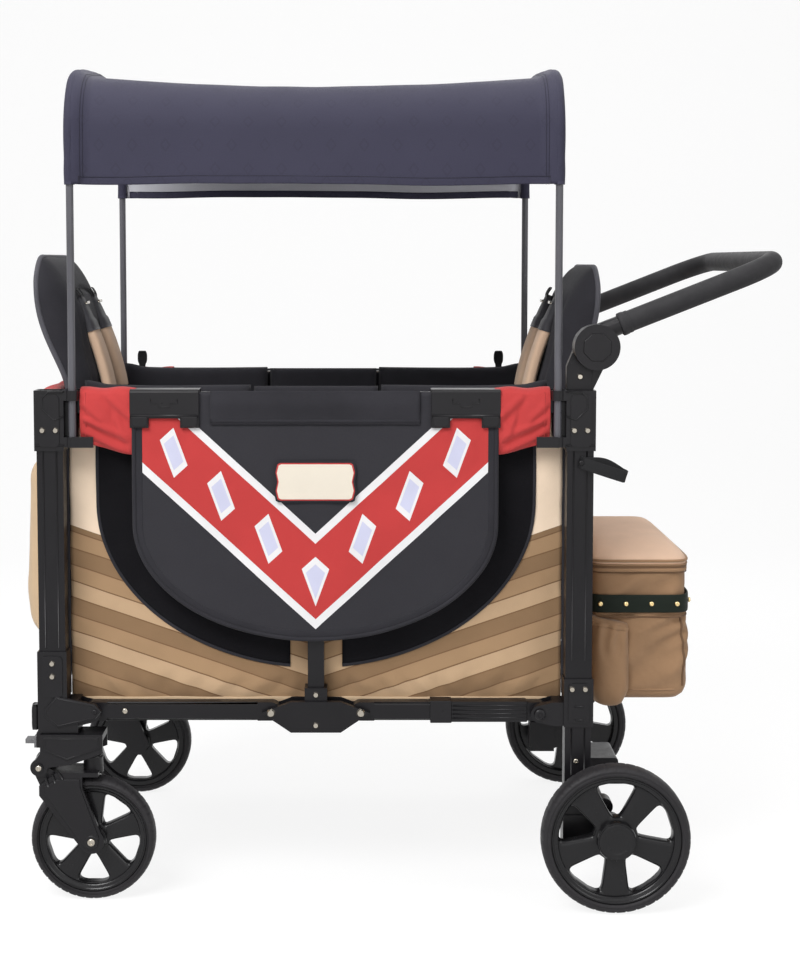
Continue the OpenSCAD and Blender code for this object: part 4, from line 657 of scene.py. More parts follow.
def arch(run, out):
    """Point of the hoop's line at a run in mm from its middle, moved out."""
    sign, g = np.sign(run), np.abs(run)
    a1 = np.minimum(g, CROWN_LEN) / CROWN_R
    a2 = CROWN_TURN + np.clip(g - CROWN_LEN, 0, CORNER_LEN) / CORNER_R
    fall = np.maximum(0, g - CROWN_LEN - CORNER_LEN)
    on_crown = g <= CROWN_LEN
    y = np.where(on_crown, (CROWN_R + out) * np.sin(a1), ARCH_SIDE + (CORNER_R + out) * np.sin(a2))
    on_corner = BEND_Z + (CORNER_R + out) * np.cos(a2) - fall
    z = np.where(on_crown, CROWN_Z + (CROWN_R + out) * np.cos(a1), on_corner)
    return y * sign, z


def canopy_out(x, run):
    """How far the sheet stands off the hoops' line: low beside the pockets, sagging between them."""
    flat = np.minimum(1, np.abs(x) / POLE_X)
    top = np.clip(1 - (np.abs(run) / HALF_ARC) ** 2, 0, 1)
    near = smooth_step((np.abs(x) - 352) / 30)
    drag = 1.1 * ripple(x * 1.4, run * 0.8, 2.0) * (1 - flat ** 4)
    pull = 1.6 * np.sin(run * 0.045 + 1.3 * np.sin(run * 0.017)) * near * (1 - near) * 4
    return 6.6 - (11.0 + 20.0 * (1 - flat ** 1.5) * top) * (1 - near) + drag * 0.8 + pull * 0.6


def canopy_hem_drop(x):
    return 2.0 * ripple(x, x * 0, 4.0) * (1 - np.minimum(1, np.abs(x) / POLE_X) ** 4)


def folds(obj, joint_anchor_x, keep=PANEL_KEEP):
    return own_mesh(obj, "fold", axis=(1, 0, 0), anchor=wagon((joint_anchor_x, 0, 0)).tolist(), keep=keep)


x = np.linspace(-POLE_X, POLE_X, 161)
run = np.linspace(-HALF_ARC, HALF_ARC, 141)
X, R = grid(x, run)
y, z = arch(R, canopy_out(X, R))
z = z + canopy_hem_drop(X) * np.clip((np.abs(R) / HALF_ARC - 0.9) / 0.1, 0, 1)
canopy = make("canopy", line(X, y, z), quads(len(x), len(run)), ["canopy", "lining"], "rear_canopy",
              uv=flat_uv(X, R))
thicken(canopy, 1.6, 1.0, 1)
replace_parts(canopy, "canopy_fabric")
canopy_trim, pockets = [], []
for end, sign in ENDS.items():
    run = np.linspace(-HALF_ARC - 0.5, HALF_ARC + 0.5, 141)
    y, z = arch(run, 0.6)
    puff = 1 + 0.03 * np.sin(run * 0.09 + 1.7 * np.sin(run * 0.031))
    path = line(sign * POLE_X, y, z)
    pockets.append(sweep(f"canopy_pocket_{end}", path, circle(POCKET_R, 20), (1, 0, 0), "canopy",
                         f"{end}_canopy", scale=puff))
    for edge, inset in (("a", 17.0), ("b", 21.0)):
        at_x = np.full_like(run, sign * (POLE_X - inset))
        y, z = arch(run, canopy_out(at_x, run) + 1.9)
        stitch = line(at_x, y, z)
        canopy_trim.append(sweep(f"canopy_stitch_{edge}_{end}", stitch, flat_section(1.4, 0.9, 6, 2),
                                 (1, 0, 0), "canopy_seam", "rear_canopy"))
for side, sign in SIDES.items():
    x = np.linspace(14 - POLE_X, POLE_X - 14, 81)
    for part, lift, tall, deep, mat in (("fold", 6.5, 13.0, 3.0, "canopy"),
                                        ("stitch", 12.0, 1.3, 4.2, "canopy_seam")):
        at_run = np.full_like(x, sign * (HALF_ARC - lift))
        y, z = arch(at_run, canopy_out(x, at_run) + 0.8)
        path = line(x, y, z + canopy_hem_drop(x))
        canopy_trim.append(sweep(f"canopy_hem_{part}_{side}", path, flat_section(tall, deep, 14),
                                 (0, 1, 0), mat, "rear_canopy"))
for obj in [canopy, *canopy_trim]:
    folds(obj, POLE_X, CANOPY_KEEP)

# Side panels, mesh windows and door flaps

PANEL_X, PANEL_LOW, PANEL_TOP = 397.0, 304.0, 819.0
PANEL_Y, PANEL_ANCHOR, HEM_Z = 240.0, 390, 317.5
POST_EDGE = (421.5, 248.5)
WINDOW_IN, WINDOW_OUT, WINDOW_LOW, WINDOW_TURN, WINDOW_EDGE, WINDOW_TOP = 42, 352, 372.0, 640.0, 760, 790
FLAP_Y, FLAP_HALF, FLAP_LOW, FLAP_TURN, FLAP_HEM, FLAP_TOP = 275.2, 288.0, 424.0, 609.0, 815.0, 821.0
FLAP_SEAM = 8.0
VALANCE_HALF, VALANCE_LOW, VALANCE_TOP = 166, 769, 823


def panel_depth(x, z):
    """How far the side panel's cloth stands out of its plane."""
    edge = smooth_step((PANEL_X - np.abs(x)) / 60) * smooth_step((z - PANEL_LOW) / 24)
    puff = 3.2 * smooth_step((PANEL_X - np.abs(x)) / 90) * np.exp(-((z - 352) / 26.0) ** 2)
    crumple = 2.6 * np.sin(x * 0.115 + 1.6 * np.sin(z * 0.05 + x * 0.012))
    crumple = crumple * np.exp(-((z - 342) / 17.0) ** 2)
    pull = 2.6 * np.sin(z * 0.055 + 2.0 * np.sin(np.abs(x) * 0.02))
    pull = pull * np.exp(-((PANEL_X - np.abs(x)) / 50.0) ** 2)
    clear = smooth_step((np.abs(x) - 16) / 30) * smooth_step((780 - z) / 30)
    soft = (crumple + 1.4 * ripple(x, z, 1.0)) * edge
    return (puff + soft + pull * smooth_step((z - PANEL_LOW) / 40)) * clear


def window_low(x, half, top, low):
    """Bottom edge of a window or flap with straight sides and a half-ellipse below."""
    return top - (top - low) * np.sqrt(np.clip(1 - (x / half) ** 2, 0, 1))


def arch_sheet(name, half, top, low, high, side_y, bulge, mat, body, nx=89, nz=49, flip=1):
    """A sheet with straight sides and a half-ellipse bottom, with a depth field."""
    t = np.linspace(-1, 1, nx)
    x = half * np.sin(t * math.pi / 2)
    x[0], x[-1] = -half, half
    X = np.repeat(x[:, None], nz, 1)
    bottom = window_low(X, half, top, low)
    Z = bottom + (high - bottom) * np.linspace(0, 1, nz)[None]
    verts = line(X, -(side_y + bulge(X, Z)), Z)
    obj = make(name, verts, quads(nx, nz), mat, body, uv=flat_uv(X, Z), flip=(1, flip))
    return obj, x, bottom[:, 0]


def edge_path(x, bottom, high, side_y, bulge, lift):
    """The outline of such a sheet, down one side, round and up the other."""
    left = np.linspace(high, bottom[0], 12)[:-1]
    px = np.concatenate([np.full(11, x[0]), x, np.full(11, x[-1])])
    pz = np.concatenate([left, bottom, left[::-1]])
    return line(px, -(side_y + lift + bulge(px, pz)), pz)


def flap_depth(x, z):
    """How the door flap hangs: a rolled top, then a slack fall."""
    roll = 2.2 * np.exp(-((z - 797) / 15.0) ** 2) * smooth_step((170 - np.abs(x)) / 20)
    dip = 0.8 * np.exp(-((z - 768) / 3.5) ** 2) * smooth_step((176 - np.abs(x)) / 10)
    slack = smooth_step((750 - z) / 80)
    wave = 1.8 * ripple(x * 0.9, z * 1.1, 3.0) + 1.4 * np.sin(x * 0.05 + z * 0.022)
    tug = 2.2 * np.exp(-((np.abs(x) - 232) / 34.0) ** 2)
    tug = tug * np.exp(-((z - 735) / 26.0) ** 2) * np.sin(x * 0.16)
    return roll - dip + slack * wave * 0.8 + tug * 0.6


panels, flaps = [], []
for side, sign in SIDES.items():
    flip = -sign
    nx, nz = 133, 85
    X, Z = grid(np.linspace(-PANEL_X, PANEL_X, nx), np.linspace(PANEL_LOW, PANEL_TOP, nz))
    verts = line(X, -(PANEL_Y + panel_depth(X, Z)), Z)
    panel = make(f"side_panel_{side}", verts, quads(nx, nz), ["panel", "black"], "rear_frame",
                 uv=flat_uv(X, Z), flip=(1, flip))
    thicken(panel, 2.4, 0.0, 1)
    folds(panel, PANEL_ANCHOR)
    panels.append(panel)
    x = np.linspace(8 - PANEL_X, PANEL_X - 8, 121)
    hem = line(x, -PANEL_Y - 3.4, HEM_Z + 0.9 * ripple(x * 2, x * 0, 2.0))
    hem = sweep(f"panel_hem_{side}", hem, flat_section(9.0, 3.4, 12, 3), (0, 1, 0), "pocket", "rear_frame",
                flip=(1, flip))
    folds(hem, PANEL_ANCHOR)
    for end, ahead in ENDS.items():
        strip = line(*POST_EDGE, np.linspace(330, 735, 9))
        sweep(f"post_edge_{end}_{side}", strip, flat_section(3.0, 50.0, 18, 6), (1, 0, 0), "black",
              f"{end}_frame", flip=(ahead, sign))

    for part, cut in (("a", -1), ("b", 1)):
        n, m = 61, 41
        x = cut * (WINDOW_IN + (WINDOW_OUT - WINDOW_IN) * np.sin(np.linspace(0, 1, n) * math.pi / 2))
        X = np.repeat(x[:, None], m, 1)
        low = window_low(X, WINDOW_OUT, WINDOW_TURN, WINDOW_LOW)
        Z = low + (WINDOW_TOP - low) * np.linspace(0, 1, m)[None]
        verts = line(X, -(PANEL_Y + 2.4 + panel_depth(X, Z)), Z)
        faces = quads(n, m) if cut > 0 else [f[::-1] for f in quads(n, m)]
        net = make(f"mesh_window_{part}_{side}", verts, faces, "mesh", "rear_frame", uv=flat_uv(X, Z),
                   flip=(1, flip))
        thicken(net, 1.0, 0.0)
        edge_x = np.concatenate([x, np.full(13, x[-1])])
        edge_z = np.concatenate([Z[:, 0], np.linspace(WINDOW_TURN, WINDOW_EDGE, 14)[1:]])
        path = line(edge_x, -(PANEL_Y + 3.0 + panel_depth(edge_x, edge_z)), edge_z)
        edging = sweep(f"mesh_edge_{part}_{side}", path, flat_section(5.0, 1.6, 10, 2.5), (0, 1, 0),
                       "black", "rear_frame", flip=(1, flip))
        for obj in (net, edging):
            folds(obj, PANEL_ANCHOR)

    flap, fx, fz = arch_sheet(f"door_flap_{side}", FLAP_HALF, FLAP_TURN, FLAP_LOW, FLAP_TOP, FLAP_Y,
                              flap_depth, ["flap", "black"], "centre", flip=flip)
    thicken(flap, 2.2, 0.0, 1)
    border = edge_path(fx, fz, FLAP_HEM, FLAP_Y, flap_depth, 0.6)
    piping = sweep(f"flap_piping_{side}", border, circle(3.6, 10), (0, 1, 0), "black", "centre",
                   flip=(1, flip))
    inner = border.copy()
    inner[:, 0] *= 1 - FLAP_SEAM / FLAP_HALF
    raised = FLAP_TURN - (FLAP_TURN - inner[:, 2]) * (1 - FLAP_SEAM / (FLAP_TURN - FLAP_LOW))
    inner[:, 2] = np.where(inner[:, 2] < FLAP_TURN, raised, inner[:, 2])
    inner[:, 1] = -(FLAP_Y + 1.2 + flap_depth(inner[:, 0], inner[:, 2]))
    seam = sweep(f"flap_seam_{side}", inner, flat_section(10.5, 1.6, 12, 3), (0, 1, 0), "black", "centre",
                 flip=(1, flip))
    X, Z = grid(np.linspace(-VALANCE_HALF, VALANCE_HALF, 67), np.linspace(VALANCE_LOW, VALANCE_TOP, 19))
    off = FLAP_Y + flap_depth(X, Z) + 3.0 + 2.4 * np.exp(-((Z - 806) / 14.0) ** 2)
    off = off + 0.5 * ripple(X * 1.6, Z * 2.0, 6.0)
    fall = make(f"flap_valance_{side}", line(X, -off, Z), quads(67, 19), "black", "centre",
                uv=flat_uv(X, Z), flip=(1, flip))
    thicken(fall, 1.6, 0.0)
    hem = line(X[:, 2], -off[:, 2] - 0.6, Z[:, 2])
    hem = sweep(f"flap_valance_hem_{side}", hem, flat_section(5.0, 2.4, 10, 2.5), (0, 1, 0), "black",
                "centre", flip=(1, flip))
    for obj in (flap, piping, seam, fall, hem):
        folds(obj, 0, FLAP_KEEP)
    area = float(np.trapz(FLAP_TOP - fz, fx)) * MM * MM
    flaps.append(flap)

for panel in panels:
    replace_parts(panel, "side_panels")
for flap in flaps:
    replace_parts(flap, "door_flaps")

# Red rail bands and padded rail covers

FOLD_LINES = [((372, 776), (292, 744), 2.4, 5.0), ((338, 822), (290, 772), 2.0, 5.5),
              ((374, 752), (300, 727), 2.0, 4.5), ((374, 806), (336, 768), 1.7, 5.0),
              ((322, 800), (306, 748), 1.3, 5.0), ((360, 736), (330, 724), 1.5, 4.0)]

CREASE_DEEP, CREASE_WIDE = 1.6, 1.4
BAND_FROM, BAND_TO, BAND_SEAM = 286, 373, 364.0
COVER_Y = 226.0
BAND_RING = np.array([[243.5, 800], [243.6, 812], [245, 820], [250, 825], [257, 826.6], [266, 826],
                      [272.5, 823.2], [276.6, 818], [278.4, 810], [278.8, 800], [278.6, 790], [278.2, 780],
                      [277.6, 770], [276.6, 760], [275.0, 750], [273.0, 742], [270.6, 735], [267.6, 731.5],
                      [264.6, 734], [262.4, 742], [258.0, 752], [252.0, 762], [246.0, 772], [243.6, 786]])


def even(points, n):
    """A closed line set out again as n evenly spaced points."""
    p = np.vstack([points, points[:1]])
    run = np.r_[0, np.cumsum(np.linalg.norm(np.diff(p, axis=0), axis=1))]
    at = np.linspace(0, run[-1], n + 1)[:-1]
    return np.stack([np.interp(at, run, p[:, k]) for k in (0, 1)], 1)


def band_folds(x, z):
    """Creases of the slack red cloth: each a furrow beside a ridge along a slanting line."""
    total = 0.9 * ripple(x * 2.0, z * 2.0, 5.0)
    for (x0, z0), (x1, z1), depth, width in FOLD_LINES:
        run = math.hypot(x1 - x0, z1 - z0)
        along = ((x - x0) * (x1 - x0) + (z - z0) * (z1 - z0)) / run
        off = ((x - x0) * (z1 - z0) - (z - z0) * (x1 - x0)) / run + 2.5 * np.sin(along * 0.06)
        fade = smooth_step(along / 14) * smooth_step((run - along) / 14)
        across = off / (width * CREASE_WIDE)
        total = total + depth * CREASE_DEEP * 2.0 * across * np.exp(-across ** 2) * fade
    return total


def cover_grid(nu, nv=17):
    """Shares along and across a rail cover, and its fullness there."""
    U, V = grid(np.linspace(-1, 1, nu), np.linspace(-1, 1, nv))
    return U, V, np.sqrt(np.clip((1 - np.abs(U) ** 10) * (1 - np.abs(V) ** 5), 0, 1))


for side, sign in SIDES.items():
    for end, ahead in ENDS.items():
        x = np.linspace(BAND_FROM, BAND_TO, 73)
        ring = even(BAND_RING, 96)
        n = len(ring)
        X = np.repeat(x[:, None], n, 1)
        Y = np.repeat(ring[None, :, 0], len(x), 0)
        Z = np.repeat(ring[None, :, 1], len(x), 0)
        outer = smooth_step((Y - 258) / 8)
        lower = np.clip((800 - Z) / 68, 0, 1)
        Y = Y + outer * band_folds(X, Z) * (0.35 + 0.65 * smooth_step((822 - Z) / 25))
        wavy = 1.3 * np.sin(X * 0.11 + sign) * smooth_step((Z - 815) / 8)
        Z = Z + lower * (-12.0 + 18.0 * smooth_step((X - BAND_FROM) / 88)) + wavy
        verts = line(X, Y, Z)
        band_uv = np.stack(np.broadcast_arrays(x[:, None] * MM, np.linspace(0, 0.26, n)[None]), -1)
        band = make(f"rail_band_{end}_{side}", verts, quads(len(x), n, False, True), "red",
                    flip=(ahead, sign), uv=band_uv)
        thicken(band, 1.4, 0.0)
        hem_z = np.linspace(742, 820, 40)
        hem_x = np.full_like(hem_z, BAND_SEAM)
        outside = BAND_RING[17:6:-1]
        hem_y = np.interp(hem_z, outside[:, 1], outside[:, 0]) + band_folds(hem_x, hem_z) * 0.8 + 0.9
        hem = sweep(f"band_seam_{end}_{side}", line(hem_x, hem_y, hem_z), flat_section(1.6, 1.0, 6, 2),
                    (0, 1, 0), "red", flip=(ahead, sign))
        for piece in (band, hem):
            wagon((ahead * 374, sign * 260, 805)).tolist()
            wagon((ahead * 335, sign * 260, 805)).tolist()
            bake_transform(piece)
        U, V, full = cover_grid(45)
        px = 239 + 134 * U
        pz = 800 + 30 * V + 1.2 * ripple(px, V * 60, 5.0)
        pz = pz + 6 * smooth_step((px - 330) / 40) - 3 * np.sin((px - 105) * 0.0117)
        front, back = line(px, COVER_Y - 11 * full, pz), line(px, COVER_Y + 11 * full, pz)
        cover = pillow(f"rail_cover_{end}_{side}", front, back, "black", f"upper_{end}", flip=(ahead, sign))
    U, V, full = cover_grid(33)
    front, back = (line(100 * U, COVER_Y + out * 9 * full, 797 + 30 * V) for out in (-1, 1))
    cover = pillow(f"rail_cover_middle_{side}", front, back, "black", "centre", flip=(1, sign))

for end, ahead in ENDS.items():
    y = np.linspace(-250, 250, 101)
    lump = 1 + 0.05 * np.sin(y * 0.07 + 1.5 * np.sin(y * 0.023))
    path = line(436.0, y, 810.0)
    a = np.arange(24) * TAU / 24
    section = np.stack([13.0 * np.cos(a), 13.2 * np.sin(a) - 7.0 * np.clip(-np.sin(a), 0, 1) ** 2], 1)
    sweep(f"bar_sleeve_{end}", path, section, (0, 0, 1), "red", f"{end}_frame", scale=lump, flip=(ahead, 1))

# Seat backs

BACK_X, BACK_Z, BACK_H, BACK_HALF = 366.0, 440.0, 597.0, 165.0
BACK_LEAN = math.radians(0.6)
BACK_BEND = math.tan(math.radians(20))
STRAP_Y = 66.0
BACK_TALL = {"front": 1.0, "rear": 0.972}
SIDE_POWER, TOP_POWER = 6, 14
PAD_TOP, PAD_RUN = 487.0, 132.0


def back_out(v):
    t = np.maximum(0, v - 0.64)
    return BACK_H * BACK_BEND * (np.sqrt(t ** 2 + 0.05 ** 2) - 0.05)


def back_depth(v):
    return 26 + 28 * np.sin(math.pi * v ** 3) ** 2


def back_swell(v):
    """How far the head rest stands forward of the back below it."""
    return 14 * smooth_step((v - 0.70) / 0.16)


def back_face(u, v):
    """The padded front of the seat back, in its own axes, before its seams."""
    return 9 + back_out(v) - back_swell(v) - 9 * (1 - u ** 4) * (1 - v ** 4)


def in_back(x, y, z):
    """From the seat back's own axes to the wagon's, in mm."""
    c, s = math.cos(BACK_LEAN), math.sin(BACK_LEAN)
    return line(BACK_X + x * c + z * s, y, BACK_Z - x * s + z * c)


def back_border(v):
    """Depth of the border seam in the pad's own axes: near its back, turning forward at the top."""
    return 9 + back_out(v) + back_depth(v) * (0.84 - 0.34 * np.clip((v - 0.93) / 0.07, 0, 1) ** 2)


def back_half(v):
    t = np.clip((v - 0.88) / 0.12, 0, 1)
    return BACK_HALF * (0.66 + 0.34 * np.sqrt(1 - t ** 2)) - 6 * (1 - (2 * v - 1) ** 2)


def back_edge(tall):
    """The seat back's border: up one side, over the top and down the other."""
    corner = np.linspace(0, math.pi / 2, 25)
    v = np.concatenate([np.linspace(0.02, 0.88, 60)[:-1], 0.88 + 0.12 * np.sin(corner)])
    reach = back_half(v) - 1.5
    top = np.linspace(1, -1, 20)[1:-1] * reach[-1]
    ev = np.concatenate([v, np.ones_like(top), v[::-1]])
    ey = np.concatenate([reach, top, -reach[::-1]])
    return in_back(back_border(ev), ey, ev * BACK_H * tall - 1.5)


def seat_back(end, ahead):
    nu, nv = 61, 151
    tall = BACK_TALL[end]
    rows = 0.5 - 0.5 * np.cos(np.linspace(0, math.pi, nv))
    U, V = grid(np.sin(np.linspace(-1, 1, nu) * math.pi / 2), rows)
    W = 2 * V - 1
    full = np.sqrt(np.clip((1 - np.abs(U) ** SIDE_POWER) * (1 - np.abs(W) ** TOP_POWER), 0, 1))
    border = back_border(V)
    near, far = border - 9 - back_out(V) + back_swell(V), 9 + back_out(V) + back_depth(V) - border
    crown = 9 * (1 - U ** 4) * (1 - V ** 4)
    side_seam = np.exp(-((np.abs(U) - 0.72) / 0.026) ** 2) * smooth_step((0.93 - V) / 0.05)
    cross_seam = np.exp(-((V - 0.36) / 0.010) ** 2) + np.exp(-((V - 0.60) / 0.009) ** 2)
    slot = np.exp(-((V - 0.905 + 0.1 * U ** 2) / 0.008) ** 2) * smooth_step((0.6 - np.abs(U)) / 0.08)
    seams = 3.0 * side_seam + 2.6 * cross_seam * smooth_step((0.74 - np.abs(U)) / 0.05) + 3.5 * slot
    puff = 1.0 * ripple(U * 150, V * 560, 3.0)
    soft = smooth_step((full - 0.4) / 0.4)
    front_x = border - (near + crown - (seams - puff) * soft) * full
    back_x = border + (far - 0.6 + 0.8 * puff) * full
    y = U * back_half(V)
    z = V * BACK_H * tall
    front, back = in_back(front_x, y, z), in_back(back_x, y, z)
    pad = pillow(f"seat_back_{end}", front, back, "black", f"{end}_frame", uv=flat_uv(y, z),
                 flip=(ahead, 1))
    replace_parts(pad, f"{end}_seat_back")
    sweep(f"seat_back_piping_{end}", back_edge(tall), circle(4.6, 12), (1, 0.02, 0.01), "piping",
          f"{end}_frame", flip=(ahead, 1))
    return pad


def harness(end, ahead):
    """Shoulder pads with cuffs and sliders, and the webbing above and below them."""
    made = []
    lean = math.radians(16)

    def sew(name, path, section, mat, up=(0, 1, 0), **more):
        made.append(sweep(f"{name}_{end}", path, section, up, mat, f"{end}_frame", flip=(ahead, 1), **more))
        return made[-1]

    for part, hand in (("a", -1), ("b", 1)):
        u = STRAP_Y / BACK_HALF
        t = np.linspace(0, 1, 25)
        run = t * PAD_RUN
        z = PAD_TOP - run * math.cos(lean)
        seat = PAD_TOP / BACK_H
        x = back_face(u, seat) + 0.75 * back_swell(seat) - 8.5
        x = x - run * math.sin(lean) - 4 * np.sin(t * math.pi)
        side = STRAP_Y * hand
        scale = np.sqrt(np.clip(1 - np.abs(2 * t - 1) ** 16, 0.15, 1))
        pad = sew(f"shoulder_pad_{part}", in_back(x, side, z), flat_section(20.0, 60.0, 36, 3.2), "pad",
                  scale=scale)
        for edge in (-1, 1):
            stitch = in_back(x[2:-2] - 9.2, side + edge * 20, z[2:-2] - 3.6)
            sew(f"pad_stitch_{part}{edge}", stitch, flat_section(1.0, 1.4, 6, 2), "pad")
        cuff_t = np.linspace(-0.32, 0.14, 13)
        cuff_z = PAD_TOP - cuff_t * PAD_RUN * math.cos(lean)
        on_back = back_face(u, cuff_z / BACK_H) + 0.6 * back_swell(cuff_z / BACK_H) - 6.0
        on_pad = x[0] - cuff_t * PAD_RUN * math.sin(lean) - 1.5
        cuff_x = np.where(cuff_t < 0, on_back, on_pad)
        cuff = in_back(cuff_x, side, cuff_z)
        cuff_scale = np.linspace(0.55, 1.0, 13)
        sew(f"pad_cuff_{part}", cuff, flat_section(23.0, 63.0, 32, 3.2), "trim_black", scale=cuff_scale)
        bar_y = np.linspace(-15, 15, 9)
        bar = in_back(cuff_x[2] - 11.0, side + bar_y, cuff_z[2])
        sew(f"pad_slider_{part}", bar, flat_section(3.0, 5.0, 10, 3), "nickel", (0, 0, 1))
        t = np.linspace(0, 1, 17)
        sx = x[-1] + (-6 - x[-1]) * t - 5 * np.sin(t * math.pi)
        sz = z[-1] + 6 + (200 - z[-1]) * t
        low = in_back(sx, side, sz)
        sew(f"harness_strap_{part}", low, flat_section(2.4, 25.0, 14), "webbing")
        for web, shift in (("in", -9.0), ("out", 9.0)):
            tz = np.linspace(cuff_z[1], 541, 13)
            tv = tz / BACK_H
            bow = np.sin(np.linspace(0, 1, 13) * math.pi)
            web_y = np.linspace(STRAP_Y + shift, STRAP_Y + shift * 1.7, 13) * hand
            high = in_back(back_face(u, tv) - 2.0 - 2 * bow, web_y, tz)
            sew(f"harness_{web}_{part}", high, flat_section(2.2, 13.0, 12), "webbing")
    for obj in made:
        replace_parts(obj, f"{end}_harness")


for end, ahead in ENDS.items():
    seat_back(end, ahead)
    harness(end, ahead)

# Moulded and bolted details


def inset(outline, d):
    """A polygon drawn in by d along its sides."""
    p = np.array(outline, float)
    turn = np.sign(np.sum(p[:, 0] * np.roll(p[:, 1], -1) - np.roll(p[:, 0], -1) * p[:, 1]))
    ahead = np.roll(p, -1, 0) - p
    ahead /= np.linalg.norm(ahead, axis=1)[:, None]
    normal = np.stack([-ahead[:, 1], ahead[:, 0]], 1) * turn
    before = np.roll(normal, 1, 0)
    return p + d * (normal + before) / (1 + np.sum(normal * before, 1))[:, None]


def capped(rows, n):
    """Faces of a stack of rings with both ends closed."""
    return quads(rows, n, False, True) + [tuple(range(n)),
                                          tuple((rows - 1) * n + i for i in range(n - 1, -1, -1))]


def relief(name, outline, y, rise, slope, mat, body, flip):
    """A raised plate on a side face: full size for two thirds of its height, then sloping in."""
    base, top = np.array(outline, float), inset(outline, slope)
    n = len(base)
    loops = [(base, y), (base, y + rise * 0.6), (inset(outline, slope * 0.3), y + rise * 0.9),
             (top, y + rise)]
    verts = np.concatenate([line(p[:, 0], at, p[:, 1]) for p, at in loops])
    faces = capped(len(loops), n)
    return make(name, verts, faces, mat, body, flip=flip, smooth=False, weld=True)


def ridge(name, points, y, wide, tall, mat, body, flip, closed=False):
    """A rounded rib along points on a side face."""
    p = np.array(points, float)
    path = line(p[:, 0], y, p[:, 1])
    return sweep(name, path, flat_section(wide, tall, 10, 2.4), (0, 1, 0), mat, body, closed=closed,
                 flip=flip)


def dome(name, at, normal, r, h, mat, body, flip=(1, 1)):
    """A low round head, flat in the middle, on a face with the given normal."""
    n = 20
    normal = np.array(normal, float)
    a = np.cross(normal, (0, 0, 1.0))
    a = a / np.linalg.norm(a)
    b = np.cross(normal, a)
    ring = np.arange(n) * TAU / n
    turn = np.cos(ring)[:, None] * a + np.sin(ring)[:, None] * b
    profile = [(1.0, -0.3), (1.0, 0.2), (0.93, 0.55), (0.78, 0.85), (0.52, 1.0), (0.42, 0.96), (0.36, 0.6),
               (0.02, 0.6)]
    verts = np.concatenate([np.array(at) + normal * h * up + turn * r * wide for wide, up in profile])
    faces = capped(len(profile), n)
    obj = make(name, verts, faces, mat, body, flip=flip, weld=True)
    obj.data.set_sharp_from_angle(angle=DOME_SHARP)
    return obj


YOKE_PANEL = [(434, 269.5), (346, 269.5), (345, 250), (397, 231.5), (434, 248)]
BRACKET_WEDGE = [(434, 313), (415, 335), (352, 321.5), (342, 310), (352, 297), (412, 283), (434, 302)]
FORK_PANEL = [(433, 191), (414, 202), (377, 202), (376, 187), (347, 106), (350, 92), (362, 86.5),
              (372, 92), (433, 178)]
CLIP_T = [(218, 810), (218, 803), (230, 803), (230, 797), (248, 797), (248, 803), (260, 803), (260, 810)]
BRACKET_RIB = [(396, 784), (412, 777), (430, 795), (430, 812), (421, 822), (396, 822)]
GUIDE_WEB = [(400, 806), (377, 806), (377, 741), (383, 737), (400, 737)]
FORK_RIBS = [[(431, 206), (427, 190)], [(421, 211), (416, 196)], [(411, 214), (404, 202)]]
BRACKET_FACE, POST_FACE, CLIP_FACE = 291.3, 286.2, 281.6
POST_RIBS, POST_RIB_TOP, POST_RIB_LOW = (409.5, 430.5), 728, {"front": 412, "rear": 392}
CLIP_FEET = (199.5, 278.5)
SLEEVE_RIBS = (294.0, 300.6, 307.4, 314.0)
BRACKET_SLOTS = (318, 296)
LEVER_SCALE = [0.86, 0.97, 1, 1, 1, 1, 1, 0.95, 0.78]

